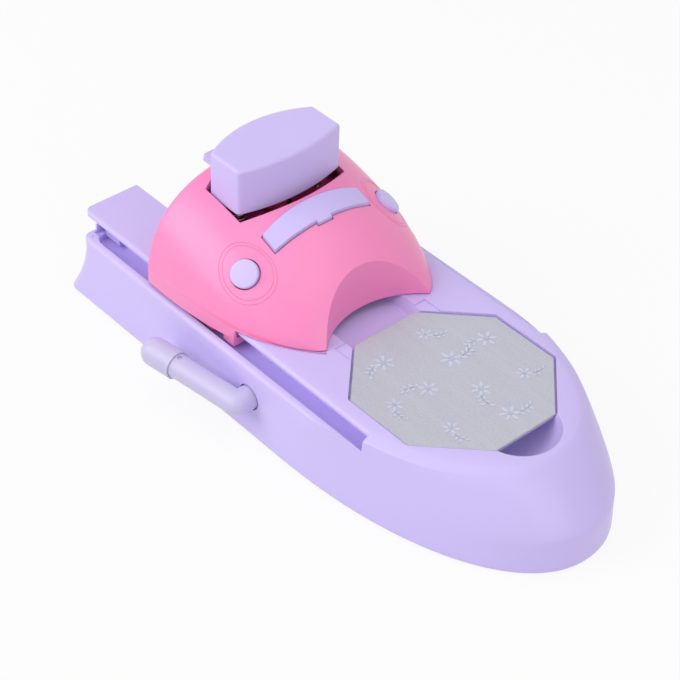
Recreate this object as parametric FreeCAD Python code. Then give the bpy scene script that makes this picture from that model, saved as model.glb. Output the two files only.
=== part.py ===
import FreeCAD, Part

import math
import os

# Manual nail stamping machine.  Millimetres, +Z up, +X towards the rounded bow,
# +Y to the side away from the lever.  The origin lies on the flat underside of
# the base mat, straight below the centre of the image plate.

Vec = FreeCAD.Vector

# ---------------------------------------------------------------- fits
FIT_RUN = 0.05           # radial clearance of a running shaft
FIT_SLIDE = 0.3          # clearance of faces that slide past each other
FIT_LOOSE = 0.5          # clearance of parts that are dropped in
SCREW_FIT = 0.04         # radial clearance of a screw in its pilot hole

# ---------------------------------------------------------------- base housing
DECK_Z = 30.5            # top of the deck
DECK_HALF = 35.6         # half width of the deck slab
SLAB_T = 2.4             # thickness of the deck slab
SLAB_REAR_X = -135.7     # rear end of the deck slab
SLAB_CORNER_R = 3.0      # plan radius of the slab's rear corners
SLAB_EDGE_R = 1.5        # rounding of the slab's top edges
SLAB_BEVEL = 1.6         # width of the bevel under the slab's side edges
WALL_T = 2.2             # wall thickness of the housing
RIM_Z = 0.3              # lower edge of the housing
WALL_TOP_Z = 26.0        # top of the outer side walls
WALL_EDGE_R = 2.0        # rounding of their outer edge
WALL_HALF_MID = 41.2     # half width of the housing above the draft
WALL_DRAFT = 0.5         # how much wider the foot is than the middle
BOW_START_X = -30.0      # where the straight sides turn into the bow
BOW_TIP_TOP_X = 41.6     # tip of the flat top
BOW_TIP_X = 58.6         # tip of the bow below its slope
BOW_TOP_HALF = 37.0      # half width of the flat top
BOW_SIDE_DEPTH = 2.0     # depth of the slope along the sides
BOW_TIP_DEPTH = 18.0     # depth of the slope at the tip
BOW_PLAN_POWER = 2.12    # superellipse power of the bow in plan
BOW_SLOPE_POWER = 1.2    # superellipse power of the bow's slope
FOOT_R = 1.5             # rounding of the lower edge
REAR_TOP_X = -129.6      # rear face of the housing at the top
REAR_FOOT_X = -138.8     # rear face at the foot, after its bell-shaped flare
REAR_FLARE_Z = 22.5      # height at which the flare starts
REAR_FLARE_POWER = 1.5
REAR_CORNER_R = 3.5      # plan radius of the two rear corners
SHOULDER_LEVELS = 6      # outlines that the housing is lofted through, from the top down
SLOPE_LEVELS = 8
MIDDLE_LEVELS = 4
FOOT_LEVELS = 5

# ---------------------------------------------------------------- side troughs
TROUGH_LIP_Y = 38.7      # inner edge of the outer wall's top
TROUGH_FLAT_Y = 34.0     # where the trough's round side meets its flat floor
TROUGH_WEB_Y = 31.6      # inner wall of the trough, under the slab
TROUGH_FLOOR_Z = 23.0
TROUGH_FRONT_X = 2.0     # front end wall of both troughs
TROUGH_REAR_X = -126.8   # rear end wall of both troughs
TROUGH_END_R = 5.0       # plan radius of the troughs' rear outer corner
STOP_LEN = 7.5           # length of the carriage's rear stops
STOP_INSET = 2.0         # how far they stand in from the slab's edge
NOTCH_X = -128.6         # end of the pocket in the troughs' rear end wall
NOTCH_Y = 36.8
NOTCH_Z = 25.2
TROUGH_SKIN = 2.0        # wall thickness under the trough

# ---------------------------------------------------------------- finger trough
FINGER_R = 14.55         # radius of the U-shaped finger trough
FINGER_Z = 33.45         # height of its centre line
FINGER_FRONT_X = -60.0
SHALLOW_HALF_TOP = 14.3  # shallow recess from the finger trough to the plate
SHALLOW_HALF_LOW = 12.2
SHALLOW_Z = 27.5
SHALLOW_SKIN = 1.6

# ---------------------------------------------------------------- image plate
PLATE_FLATS = 60.0       # across the flats of the octagon
PLATE_T = 1.2
PLATE_TOP_Z = 30.0
LEDGE_HALF = 18.5        # fine step beside the recess
LEDGE_X0 = -32.0
LEDGE_X1 = -25.0
LEDGE_DEPTH = 0.4
WELL_X = 27.2            # finger well in front of the plate
WELL_R = 12.7
WELL_DEPTH = 10.0

# ---------------------------------------------------------------- lever and cam
PIVOT_X = -45.0
PIVOT_Z = 15.0
SHAFT_R = 2.5
ARM_R = 3.95
ARM_OUT = 45.7           # distance of the elbow from the centre plane
ARM_LEN = 25.3
TONGUE_R = 4.1           # rounded end of the arm
ARM_SPLAY = 7.4          # degrees that the arm leans away from the wall
KNOB_R = 4.7
KNOB_TIP = 39.2          # distance of the knob's tip from the pivot
KNOB_PIN_R = 0.9
KNOB_PIN_BACK = 1.3      # how far the pin stands behind the tongue's centre
HUB_HOLE_R = 4.35
BUSH_R = 4.2
BUSH_LEN = 4.0
BOSS_R = 7.0
CLIP_T = 0.7
CLIP_GAP = 0.05          # room on both sides of the clip in its groove
CLIP_PLACE = 0.4         # distance of the groove from the rib
GROOVE_DEPTH = 0.6
LEVER_SWEEP = 80.0       # degrees
CAM_HALF = 4.0           # half width of the cam
CAM_BASE_R = 3.8
REST_RATIO = 0.0353      # turn of the finger rest per turn of the lever
RIB_Y0 = 9.0             # ribs that carry the shaft inside the housing
RIB_T = 3.0

# ---------------------------------------------------------------- finger rest
HINGE_X = -118.0
HINGE_Z = 10.0
PIN_R = 1.5
HINGE_RIB_Y0 = 15.0
ROCKER_HALF = 6.0
ROCKER_Z0 = 8.0
ROCKER_Z1 = 12.0
ROCKER_FRONT_X = -53.8
NOSE_R = 1.0
BEAM_T = 1.6             # thickness of the beam that carries the nose
BEAM_POST = 2.4          # thickness of the post under that beam
REST_R = 13.6            # outer radius of the tray
REST_T = 1.5
REST_X0 = -106.0
REST_X1 = -64.5
REST_ARC = 50.0          # half angle of the tray, degrees
LINER_T = 0.8
LINER_ARC = 36.0
POST_XS = (-98.0, -72.0)
POST_LEN = 5.0
POST_HALF = 3.0
POST_ROOM = 1.2

# ---------------------------------------------------------------- bottom cover
COVER_T = 2.2
COVER_BOSS_R = 3.4
COVER_SCREW_R = 1.3
COVER_SCREW_HEAD_R = 2.6
COVER_SCREW_LEN = 9.0
COVER_SCREWS = ((-120.0, 33.0), (-78.0, 33.5), (-8.0, 33.0), (30.0, 23.5))
MAT_X0 = -108.0
MAT_X1 = 26.0
MAT_HALF = 26.0
MAT_CORNER_R = 6.0

# ---------------------------------------------------------------- carriage cover
DOME_REAR_X = -97.0
DOME_BASE_Z = 27.0
DOME_HALF = 41.5         # half width that the plan curve starts from
DOME_TUCK = 1.6          # how much narrower the rear edge is
DOME_EDGE_R = 1.8        # rounding of the rear edge
DOME_W_LEN = 74.0        # length over which the width runs out
DOME_W_POWER = 2.3
DOME_RISE_REAR = 34.3    # height over the base at the rear edge
DOME_RISE_FRONT = 33.0   # the same ellipse's height for the front part
DOME_H_LEN = 66.5        # length over which the height runs out
DOME_POWER_REAR = 2.5
DOME_POWER_FRONT = 2.05
DOME_BLEND_X = -60.0     # where the front values are reached
DOME_FRONT_X = -31.0
DOME_T = 2.2
DOME_REAR_T = 1.6
DOME_GAP = 0.4           # gap over the deck
DOME_SECTIONS = 21       # cross-sections that the dome is lofted through
DOME_POINTS = 20         # spans of one cross-section's curve
EDGE_SECTIONS = 5        # cross-sections of its rounded rear edge
SCOOP_X = -11.0
SCOOP_R = 30.2           # scoop radius at the plate's level
SCOOP_SLOPE = 0.1
SKIRT_FRONT_X = -57.0    # front end of the skirts beside the deck
SKIRT_Z = 27.6           # their lower edge
HOOK_Y = 36.0            # inner face of the hooks' leaves
HOOK_LEAF = 1.2
FRONT_HOOK_LEN = 5.0
FRONT_HOOK_LEAF = 1.1
HOOK_FOOT_Y = 32.2
HOOK_Z0 = 24.9
HOOK_Z1 = 27.5
ARCH_HALF = 19.0         # opening in the rear face for the finger
ARCH_TOP_Z = 43.0

# ---------------------------------------------------------------- carriage frame
FRAME_X0 = -94.0
FRAME_X1 = -67.0
FRAME_Z0 = 31.0
FRAME_Z1 = 33.0
SIDE_Y0 = 20.6           # side walls of the frame
SIDE_Y1 = 23.0
BRIDGE_Z0 = 45.0
BRIDGE_Z1 = 47.4
BRIDGE_X0 = -92.0
BRIDGE_X1 = -72.0
ARM_X1 = -58.8           # front end of the cross bar for the scraper
ARM_Y0 = 15.4            # its two arms
ARM_Y1 = 18.4
ARM_Z0 = 42.4
ARM_Z1 = 44.4
GLIDE_Z = 30.65
GLIDE_LEN = 8.0
GLIDE_HALF_W = 2.5
GLIDE_Y = 25.5
GLIDE_XS = (-89.0, -72.0)
CARRIAGE_SCREWS = ((-84.0, 31.5), (-77.0, 31.0))
CARRIAGE_BOSS_R = 3.0
CARRIAGE_SCREW_R = 1.2
CARRIAGE_SCREW_LEN = 8.0
CARRIAGE_HEAD_R = 2.4
CARRIAGE_HEAD_Z = 32.0   # seat of the screw heads in the frame

# ---------------------------------------------------------------- stamp
STAMP_X = -82.5
STAMP_TRAVEL = 8.0
BUTTON_TOP_Z = 71.8
BUTTON_Z = 56.0
BUTTON_HALF = 20.5
BUTTON_FRONT_X = -75.4   # front corners of the button
BUTTON_FRONT_MID_X = -72.0
BUTTON_REAR_X = -88.6
BUTTON_REAR_MID_X = -94.5
BUTTON_EDGE_R = 1.2
BUTTON_UPRIGHT_R = 1.4      # rounding of the button's upright edges
BUTTON_WALL = 2.0
BUTTON_DISH = 0.25          # depth of the shallow round dish in its top
BUTTON_DISH_R = 6.0         # and its radius
BUTTON_GAP = 0.6         # gap between the button and its opening, at the sides and behind
OPENING_FRONT_X = -73.6
OPENING_FRONT_MID_X = -68.6
OPENING_REAR_X = -90.2
STEM_R = 4.0
BUSHING_R = 5.6
HOLDER_R = 9.4
HOLDER_Z0 = 40.4
HOLDER_Z1 = 44.6
HOLDER_SEAT_Z = 42.2     # level at which the pad and the stem end in the holder
PAD_R = 8.0
PAD_Z0 = 38.3
PAD_DOME = 0.8
PIN_Y = 15.0
GUIDE_PIN_R = 1.4
SPRING_R = 3.2
SPRING_WIRE = 0.35
SPRING_TURNS = 8
SPRING_DROP = 9.0        # how far the springs end below the button's top

# ---------------------------------------------------------------- scraper
STRIP_HALF = 19.0
STRIP_REAR_X = -65.4
STRIP_REAR_MID_X = -66.9
STRIP_FRONT_X = -59.4
STRIP_PROUD = 0.9
STRIP_DEEP = 1.9
STRIP_GAP = 0.4
TAB_HALF = 2.7
TAB_X = -58.4
SCRAPER_X = -62.6
SCRAPER_TRAVEL = 3.0
LEG_Y = 12.0
LEG_R = 1.7
BLADE_HALF = 12.0
BLADE_T = 0.6
BLADE_Z = 33.4
CLAMP_HALF = 14.0
CLAMP_Z0 = 36.0
CLAMP_Z1 = 39.0
CLAMP_T = 4.0
SCRAPER_SPRING_R = 2.7
SCRAPER_SPRING_TURNS = 4
SCRAPER_SPRING_GAP = 1.2

# ---------------------------------------------------------------- side buttons
SIDE_X = -61.8
SIDE_Y = 28.8
SIDE_R = 4.5
SIDE_PROUD = 1.4
SIDE_CAP_T = 4.0
SIDE_TRAVEL = 1.5
SIDE_STEM_R = 1.6
SIDE_SLEEVE_T = 1.5


# ================================================================ helpers
def box(x0, x1, y0, y1, z0, z1):
    """Box between two corners."""
    return Part.makeBox(x1 - x0, y1 - y0, z1 - z0, Vec(x0, y0, z0))


def rod(start, end, radius):
    """Round bar from one point to another."""
    start = Vec(*start)
    along = Vec(*end) - start
    return Part.makeCylinder(radius, along.Length, start, along)


def tube(start, end, radius, bore):
    """Round tube from one point to another."""
    return rod(start, end, radius).cut(rod(start, end, bore))


def extrude(edges, direction):
    """Prism over a closed outline of edges."""
    wire = Part.Wire(Part.__sortEdges__(edges))
    return Part.Face(wire).extrude(Vec(*direction))


def outline(points, direction):
    """Prism over a polygon."""
    points = [Vec(*p) for p in points]
    face = Part.Face(Part.makePolygon(points + points[:1]))
    return face.extrude(Vec(*direction))


def line(a, b):
    """Straight edge."""
    return Part.makeLine(Vec(*a), Vec(*b))


def arc(a, b, c):
    """Circular edge through three points."""
    return Part.Arc(Vec(*a), Vec(*b), Vec(*c)).toShape()


def curve(points, closed=False):
    """Smooth edge through points."""
    spline = Part.BSplineCurve()
    spline.interpolate([Vec(*p) for p in points], PeriodicFlag=closed)
    return spline.toShape()


def mirrored(shape):
    """The same shape on the other side of the centre plane."""
    return shape.mirror(Vec(0, 0, 0), Vec(0, 1, 0))


def both_sides(shape):
    """The shape and its mirror image."""
    return [shape, mirrored(shape)]


def union(shapes):
    """All shapes fused into one."""
    shapes = list(shapes)
    return shapes[0].multiFuse(shapes[1:]).removeSplitter()


def minus(shape, tools):
    """The shape with all tools cut away."""
    return shape.cut(Part.makeCompound(list(tools)))


def save(node, shape):
    """Write one sub-part."""
    solids = shape.Solids
    if not solids:
        raise ValueError(node + " has no solid")
    whole = solids[0] if len(solids) == 1 else Part.makeCompound(solids)
    whole.exportStep("parts/" + node + ".step")
    bounds = whole.BoundBox
    print("%-22s %2d solid(s) %9.1f mm3  x %7.2f %7.2f  y %7.2f %7.2f  z %6.2f %6.2f %s" % (
        node, len(solids), whole.Volume, bounds.XMin, bounds.XMax,
        bounds.YMin, bounds.YMax, bounds.ZMin, bounds.ZMax, whole.isValid()))


def barrel(corner_front, mid_front, corner_rear, mid_rear, half, z):
    """Edges of a plan with straight sides and arched front and rear."""
    return [
        arc((corner_front, -half, z), (mid_front, 0, z), (corner_front, half, z)),
        line((corner_front, half, z), (corner_rear, half, z)),
        arc((corner_rear, half, z), (mid_rear, 0, z), (corner_rear, -half, z)),
        line((corner_rear, -half, z), (corner_front, -half, z)),
    ]


def coil(centre, radius, wire_r, turns, z0, z1):
    """Helical compression spring standing between two heights."""
    height = z1 - z0 - 2 * wire_r
    pitch = height / turns
    helix = Part.makeHelix(pitch, height, radius)
    rise = pitch / (2 * math.pi * radius)
    halves = []
    for start in (0, 180):
        halves.append(Part.makeCircle(wire_r, Vec(radius, 0, 0), Vec(0, 1, rise), start, start + 180))
    spring = Part.Wire(helix).makePipeShell([Part.Wire(halves)], True, True)
    spring.translate(Vec(centre[0], centre[1], z0 + wire_r))
    return spring


# ================================================================ housing surfaces
def slope_part(depth, full_depth):
    """Share of the bow's slope that is reached at a depth below the deck."""
    left = max(0.0, 1 - depth / full_depth)
    return (1 - left ** BOW_SLOPE_POWER) ** (1 / BOW_SLOPE_POWER)


def hull_size(z):
    """Half width and bow length of the housing at a height."""
    depth = DECK_Z - z
    half = BOW_TOP_HALF + (WALL_HALF_MID - BOW_TOP_HALF) * slope_part(depth, BOW_SIDE_DEPTH)
    tip = BOW_TIP_TOP_X + (BOW_TIP_X - BOW_TIP_TOP_X) * slope_part(depth, BOW_TIP_DEPTH)
    low = max(0.0, depth - BOW_TIP_DEPTH) / (DECK_Z - RIM_Z - BOW_TIP_DEPTH)
    half += WALL_DRAFT * low
    tip += WALL_DRAFT * low
    under = max(0.0, RIM_Z + FOOT_R - z)
    tuck = FOOT_R - math.sqrt(max(0.0, FOOT_R ** 2 - under ** 2))
    return half - tuck, tip - tuck - BOW_START_X


def rear_face(z):
    """Place of the rear face at a height."""
    share = max(0.0, REAR_FLARE_Z - z) / (REAR_FLARE_Z - RIM_Z)
    under = max(0.0, RIM_Z + FOOT_R - z)
    tuck = FOOT_R - math.sqrt(max(0.0, FOOT_R ** 2 - under ** 2))
    return REAR_TOP_X + (REAR_FOOT_X - REAR_TOP_X) * share ** REAR_FLARE_POWER + tuck


def hull_wire(z, inset, rear=None):
    """Outline of the housing at a height, drawn in by an inset."""
    half, length = hull_size(z)
    half -= inset
    length -= inset
    steps = 20
    points = []
    for i in range(steps + 1):
        turn = math.pi * (i / steps - 0.5)
        reach = max(0.0, math.cos(turn)) ** (2 / BOW_PLAN_POWER)
        across = abs(math.sin(turn)) ** (2 / BOW_PLAN_POWER)
        side = 0.0 if 2 * i == steps else math.copysign(across, turn)
        points.append(Vec(BOW_START_X + length * reach, half * side, z))
    spline = Part.BSplineCurve()
    ahead = Vec(1, 0, 0)
    spline.interpolate(points, InitialTangent=ahead, FinalTangent=ahead * -1)
    back = rear_face(z) + inset if rear is None else rear
    radius = max(REAR_CORNER_R - inset, 0.5)
    mid = radius * (1 - math.sqrt(0.5))
    return Part.Wire([
        spline.toShape(),
        line((BOW_START_X, half, z), (back + radius, half, z)),
        arc((back + radius, half, z), (back + mid, half - mid, z), (back, half - radius, z)),
        line((back, half - radius, z), (back, radius - half, z)),
        arc((back, radius - half, z), (back + mid, mid - half, z), (back + radius, -half, z)),
        line((back + radius, -half, z), (BOW_START_X, -half, z)),
    ])


def hull_loft(levels, inset, rear=None):
    """Solid of the housing's outline through several heights."""
    return Part.makeLoft([hull_wire(z, inset, rear) for z in levels], True, False)


def hull_levels(top, bottom, count):
    """Evenly spaced heights."""
    return [top + (bottom - top) * i / (count - 1) for i in range(count)]


def trough_profile(grow):
    """Cross-section of the near side's open trough, grown by a skin thickness."""
    web = TROUGH_WEB_Y - grow
    floor = TROUGH_FLOOR_Z - grow
    rise = WALL_TOP_Z - TROUGH_FLOOR_Z
    run = TROUGH_LIP_Y - TROUGH_FLAT_Y
    radius = (run ** 2 + rise ** 2) / (2 * rise)
    centre_z = TROUGH_FLOOR_Z + radius
    reach = radius + grow
    lip_turn = math.atan2(run, centre_z - WALL_TOP_Z)
    lip = (0, TROUGH_FLAT_Y + reach * math.sin(lip_turn), centre_z - reach * math.cos(lip_turn))
    half_turn = lip_turn / 2
    bend = (0, TROUGH_FLAT_Y + reach * math.sin(half_turn), centre_z - reach * math.cos(half_turn))
    start = (0, TROUGH_FLAT_Y, floor)
    top_z = DECK_Z + 5
    slab_z = DECK_Z - SLAB_T
    out_y = WALL_HALF_MID + 6
    edges = [
        line((0, web, floor), start),
        arc(start, bend, lip),
        line(lip, (0, out_y, lip[2])),
        line((0, out_y, lip[2]), (0, out_y, top_z)),
    ]
    if grow:
        return edges + [
            line((0, out_y, top_z), (0, web, top_z)),
            line((0, web, top_z), (0, web, floor)),
        ]
    round_mid = SLAB_EDGE_R * (1 - math.sqrt(0.5))
    round_top = (0, DECK_HALF - SLAB_EDGE_R, DECK_Z)
    round_low = (0, DECK_HALF, DECK_Z - SLAB_EDGE_R)
    return edges + [
        line((0, out_y, top_z), (0, round_top[1], top_z)),
        line((0, round_top[1], top_z), round_top),
        arc(round_top, (0, DECK_HALF - round_mid, DECK_Z - round_mid), round_low),
        line(round_low, (0, DECK_HALF - SLAB_BEVEL, slab_z)),
        line((0, DECK_HALF - SLAB_BEVEL, slab_z), (0, web, slab_z)),
        line((0, web, slab_z), (0, web, floor)),
    ]


def trough(grow):
    """Both side troughs as solids, grown by a skin thickness."""
    rear = TROUGH_REAR_X - grow
    front = TROUGH_FRONT_X + grow
    near = extrude(trough_profile(grow), (front - rear, 0, 0))
    near.translate(Vec(rear, 0, 0))
    plan = box(rear, front, 0, TROUGH_LIP_Y + grow, 0, DECK_Z + 10)
    corner = [e for e in plan.Edges if e.BoundBox.XMax < rear + 1e-3
              and e.BoundBox.YMin > TROUGH_LIP_Y + grow - 1e-3]
    plan = plan.makeFillet(TROUGH_END_R + grow, corner)
    rest = box(rear, front, -1, WALL_HALF_MID + 10, WALL_TOP_Z - 1e-4, DECK_Z + 10)
    return both_sides(near.common(plan.fuse(rest)))


def rear_trims():
    """Room above the rounded side walls and behind the troughs, and pockets in their end walls."""
    far = REAR_FOOT_X - 10
    out = WALL_HALF_MID + 6
    top = DECK_Z + 5
    beside = box(far, TROUGH_FRONT_X, DECK_HALF, out, WALL_TOP_Z, top)
    behind = box(far, TROUGH_REAR_X, -DECK_HALF, DECK_HALF, DECK_Z - SLAB_T, top)
    pocket = box(NOTCH_X, TROUGH_REAR_X + 1, TROUGH_WEB_Y, NOTCH_Y, NOTCH_Z, DECK_Z)
    edge_y = WALL_HALF_MID - WALL_EDGE_R
    edge_z = WALL_TOP_Z - WALL_EDGE_R
    edge = box(far, TROUGH_FRONT_X, edge_y, out, edge_z, top)
    edge = edge.cut(rod((far - 1, edge_y, edge_z), (TROUGH_FRONT_X + 1, edge_y, edge_z), WALL_EDGE_R))
    return both_sides(beside) + both_sides(edge) + both_sides(pocket) + [behind]


def slab_tail():
    """The part of the deck slab that stands out behind the side walls."""
    front = TROUGH_REAR_X + 1
    low = DECK_Z - SLAB_T
    flat = DECK_HALF - SLAB_EDGE_R
    knee = DECK_Z - SLAB_EDGE_R
    mid = SLAB_EDGE_R * (1 - math.sqrt(0.5))
    narrow = DECK_HALF - SLAB_BEVEL
    edges = [
        line((SLAB_REAR_X, -narrow, low), (SLAB_REAR_X, narrow, low)),
        line((SLAB_REAR_X, narrow, low), (SLAB_REAR_X, DECK_HALF, knee)),
        arc((SLAB_REAR_X, DECK_HALF, knee), (SLAB_REAR_X, DECK_HALF - mid, DECK_Z - mid),
            (SLAB_REAR_X, flat, DECK_Z)),
        line((SLAB_REAR_X, flat, DECK_Z), (SLAB_REAR_X, -flat, DECK_Z)),
        arc((SLAB_REAR_X, -flat, DECK_Z), (SLAB_REAR_X, mid - DECK_HALF, DECK_Z - mid),
            (SLAB_REAR_X, -DECK_HALF, knee)),
        line((SLAB_REAR_X, -DECK_HALF, knee), (SLAB_REAR_X, -narrow, low)),
    ]
    bar = extrude(edges, (front - SLAB_REAR_X, 0, 0))
    plan = box(SLAB_REAR_X, front, -DECK_HALF, DECK_HALF, low - 1, DECK_Z + 1)
    corners = [e for e in plan.Edges if abs(e.CenterOfMass.x - SLAB_REAR_X) < 1e-6
               and abs(e.CenterOfMass.z - (low + DECK_Z) / 2) < 1e-6]
    return bar.common(plan.makeFillet(SLAB_CORNER_R, corners))


def octagon(flats, z0, z1):
    """Eight-sided prism with a flat towards the rear."""
    radius = flats / 2 / math.cos(math.pi / 8)
    turns = [math.pi / 8 + i * math.pi / 4 for i in range(8)]
    points = [(radius * math.cos(a), radius * math.sin(a), z0) for a in turns]
    return outline(points, (0, 0, z1 - z0))


def shallow_recess(grow):
    """Shallow recess with sloped sides, from the finger trough to the plate."""
    x0 = FINGER_FRONT_X - 1
    x1 = -PLATE_FLATS / 2 + 1
    low = SHALLOW_HALF_LOW + grow
    top = SHALLOW_HALF_TOP + grow
    points = [
        (x0, -low, SHALLOW_Z - grow),
        (x0, low, SHALLOW_Z - grow),
        (x0, top, DECK_Z),
        (x0, top, DECK_Z + 2),
        (x0, -top, DECK_Z + 2),
        (x0, -top, DECK_Z),
    ]
    return outline(points, (x1 - x0, 0, 0))


def finger_well(grow):
    """Round dish in front of the plate, for the finger that lifts it."""
    over = (WELL_R ** 2 - WELL_DEPTH ** 2) / (2 * WELL_DEPTH)
    radius = over + WELL_DEPTH + grow
    return Part.makeSphere(radius, Vec(WELL_X, 0, DECK_Z + over))


def finger_trough(grow):
    """U-shaped trough that the finger lies in."""
    rear = (REAR_FOOT_X - 10, 0, FINGER_Z)
    return rod(rear, (FINGER_FRONT_X + grow, 0, FINGER_Z), FINGER_R + grow)


def post_slots():
    """Slots in the finger trough's floor for the posts of the rest."""
    half_x = POST_LEN / 2 + POST_ROOM
    half_y = POST_HALF + POST_ROOM
    return [box(x - half_x, x + half_x, -half_y, half_y, 0, FINGER_Z - FINGER_R + 4) for x in POST_XS]


def shaft_ribs():
    """Two ribs that carry the cam shaft, with their holes."""
    ribs = []
    for y in (-RIB_Y0 - RIB_T, RIB_Y0):
        rib = box(PIVOT_X - 7, PIVOT_X + 7, y, y + RIB_T, PIVOT_Z - 6.5, DECK_Z - 2)
        ribs.append(rib.cut(rod((PIVOT_X, y - 1, PIVOT_Z), (PIVOT_X, y + RIB_T + 1, PIVOT_Z),
                                SHAFT_R + FIT_RUN)))
    return ribs


def hinge_ribs():
    """Two ribs that hold the hinge pin of the finger rest, with their holes."""
    ribs = []
    for y in (-HINGE_RIB_Y0 - RIB_T, HINGE_RIB_Y0):
        rib = box(HINGE_X - 5, HINGE_X + 5, y, y + RIB_T, HINGE_Z - 4.5, DECK_Z - 2)
        ribs.append(rib.cut(rod((HINGE_X, y - 1, HINGE_Z), (HINGE_X, y + RIB_T + 1, HINGE_Z), PIN_R)))
    return ribs


def cover_screw_places():
    """Places of all bottom screws."""
    return [(x, side * y) for x, y in COVER_SCREWS for side in (1, -1)]


def cover_bosses():
    """Posts inside the housing that take the bottom screws."""
    foot = RIM_Z + COVER_T
    posts = []
    for x, y in cover_screw_places():
        post = rod((x, y, foot), (x, y, DECK_Z - 1), COVER_BOSS_R)
        hole = rod((x, y, foot - 1), (x, y, RIM_Z + COVER_SCREW_LEN + 1), COVER_SCREW_R + SCREW_FIT)
        posts.append(post.cut(hole))
    return posts


def base_shell():
    """Housing with deck, side troughs, finger trough, plate pocket and finger well."""
    slope_z = DECK_Z - BOW_TIP_DEPTH
    tuck_z = RIM_Z + FOOT_R
    shoulder_z = DECK_Z - BOW_SIDE_DEPTH
    shoulder = hull_loft(hull_levels(DECK_Z, shoulder_z, SHOULDER_LEVELS), 0)
    upper = hull_loft(hull_levels(shoulder_z, slope_z, SLOPE_LEVELS), 0)
    middle = hull_loft(hull_levels(slope_z, tuck_z, MIDDLE_LEVELS), 0)
    lower = hull_loft(hull_levels(tuck_z, RIM_Z, FOOT_LEVELS), 0)
    body = union([shoulder, upper, middle, lower])

    inner_rear = REAR_TOP_X + WALL_T
    roof_z = DECK_Z - SLAB_T
    cavity = union([
        hull_loft(hull_levels(roof_z, slope_z, SLOPE_LEVELS), WALL_T, inner_rear),
        hull_loft([slope_z, RIM_Z - 1], WALL_T, inner_rear),
    ])
    kept = trough(TROUGH_SKIN) + [
        finger_trough(WALL_T),
        shallow_recess(SHALLOW_SKIN),
        finger_well(WALL_T),
        octagon(PLATE_FLATS + 2 * WALL_T, PLATE_TOP_Z - PLATE_T - SHALLOW_SKIN, DECK_Z),
    ]
    cavity = minus(cavity, kept)

    boss_y = wall_inner_y()
    boss = rod((PIVOT_X, -boss_y - 1, PIVOT_Z), (PIVOT_X, BUSH_LEN + 1 - boss_y, PIVOT_Z), BOSS_R)
    inner = union(shaft_ribs() + hinge_ribs() + cover_bosses() + [boss]).common(cavity)
    body = union([body.cut(cavity), inner])

    pocket = octagon(PLATE_FLATS + 2 * FIT_LOOSE, PLATE_TOP_Z - PLATE_T, DECK_Z + 2)
    ledge = box(LEDGE_X0, LEDGE_X1, -LEDGE_HALF, LEDGE_HALF, DECK_Z - LEDGE_DEPTH, DECK_Z + 1)
    hub_hole = rod((PIVOT_X, -ARM_OUT, PIVOT_Z), (PIVOT_X, 1 - boss_y, PIVOT_Z), HUB_HOLE_R)
    bush_hole = rod((PIVOT_X, -boss_y, PIVOT_Z), (PIVOT_X, BUSH_LEN + 2 - boss_y, PIVOT_Z), BUSH_R)
    for trim in rear_trims():
        body = body.cut(trim)
    body = union([body, slab_tail()])
    cuts = trough(0) + post_slots()
    cuts += [finger_trough(0), shallow_recess(0), finger_well(0), pocket, ledge, hub_hole, bush_hole]
    for cut in cuts:
        body = body.cut(cut)
    return body


def bottom_cover():
    """Flat cover in the housing's foot, with a recess for the mat."""
    gap = WALL_T + FIT_SLIDE
    levels = [RIM_Z, RIM_Z + COVER_T]
    tight = hull_wire(RIM_Z, gap, REAR_TOP_X + gap)
    plate = Part.Face(tight).extrude(Vec(0, 0, levels[1] - levels[0]))
    recess = mat_block(RIM_Z - 1, RIM_Z + COVER_T / 2)
    holes = []
    for x, y in cover_screw_places():
        holes.append(rod((x, y, RIM_Z - 1), (x, y, levels[1] + 1), COVER_SCREW_R + FIT_SLIDE))
        holes.append(rod((x, y, RIM_Z - 1), (x, y, RIM_Z + COVER_T / 2), COVER_SCREW_HEAD_R + FIT_SLIDE))
    return minus(plate, [recess] + holes)


def mat_block(z0, z1):
    """Block with the base mat's rounded outline."""
    block = box(MAT_X0, MAT_X1, -MAT_HALF, MAT_HALF, z0, z1)
    upright = [e for e in block.Edges if e.BoundBox.ZLength > 0.9 * (z1 - z0)]
    return block.makeFillet(MAT_CORNER_R, upright)


def base_mat():
    """Soft mat that the machine stands on."""
    return mat_block(0, RIM_Z + COVER_T / 2)


def cover_screws():
    """Screws that hold the bottom cover."""
    screws = []
    for x, y in cover_screw_places():
        head_z = RIM_Z + COVER_T / 2
        head = rod((x, y, RIM_Z + 0.2), (x, y, head_z), COVER_SCREW_HEAD_R)
        shank = rod((x, y, head_z), (x, y, RIM_Z + COVER_SCREW_LEN), COVER_SCREW_R)
        slot = box(x - 2, x + 2, y - 0.35, y + 0.35, RIM_Z, RIM_Z + 0.7)
        screws.append(head.fuse(shank).cut(slot))
    return Part.makeCompound(screws)


def travel_stops():
    """Blocks clipped under the slab's edges that end the carriage's way rearwards."""
    slab_z = DECK_Z - SLAB_T
    front = TROUGH_REAR_X + STOP_LEN
    block = box(TROUGH_REAR_X, front, TROUGH_WEB_Y, DECK_HALF - STOP_INSET, TROUGH_FLOOR_Z + 1.2, slab_z)
    return Part.makeCompound(both_sides(block))


def image_plate():
    """Octagonal image plate."""
    plate = octagon(PLATE_FLATS, PLATE_TOP_Z - PLATE_T, PLATE_TOP_Z)
    rim = [e for e in plate.Edges if abs(e.CenterOfMass.z - PLATE_TOP_Z) < 1e-6]
    return plate.makeChamfer(0.25, rim)


# ================================================================ lever, cam, rest
def wall_inner_y():
    """Inner face of the lever side's wall."""
    return WALL_HALF_MID - WALL_T


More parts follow.
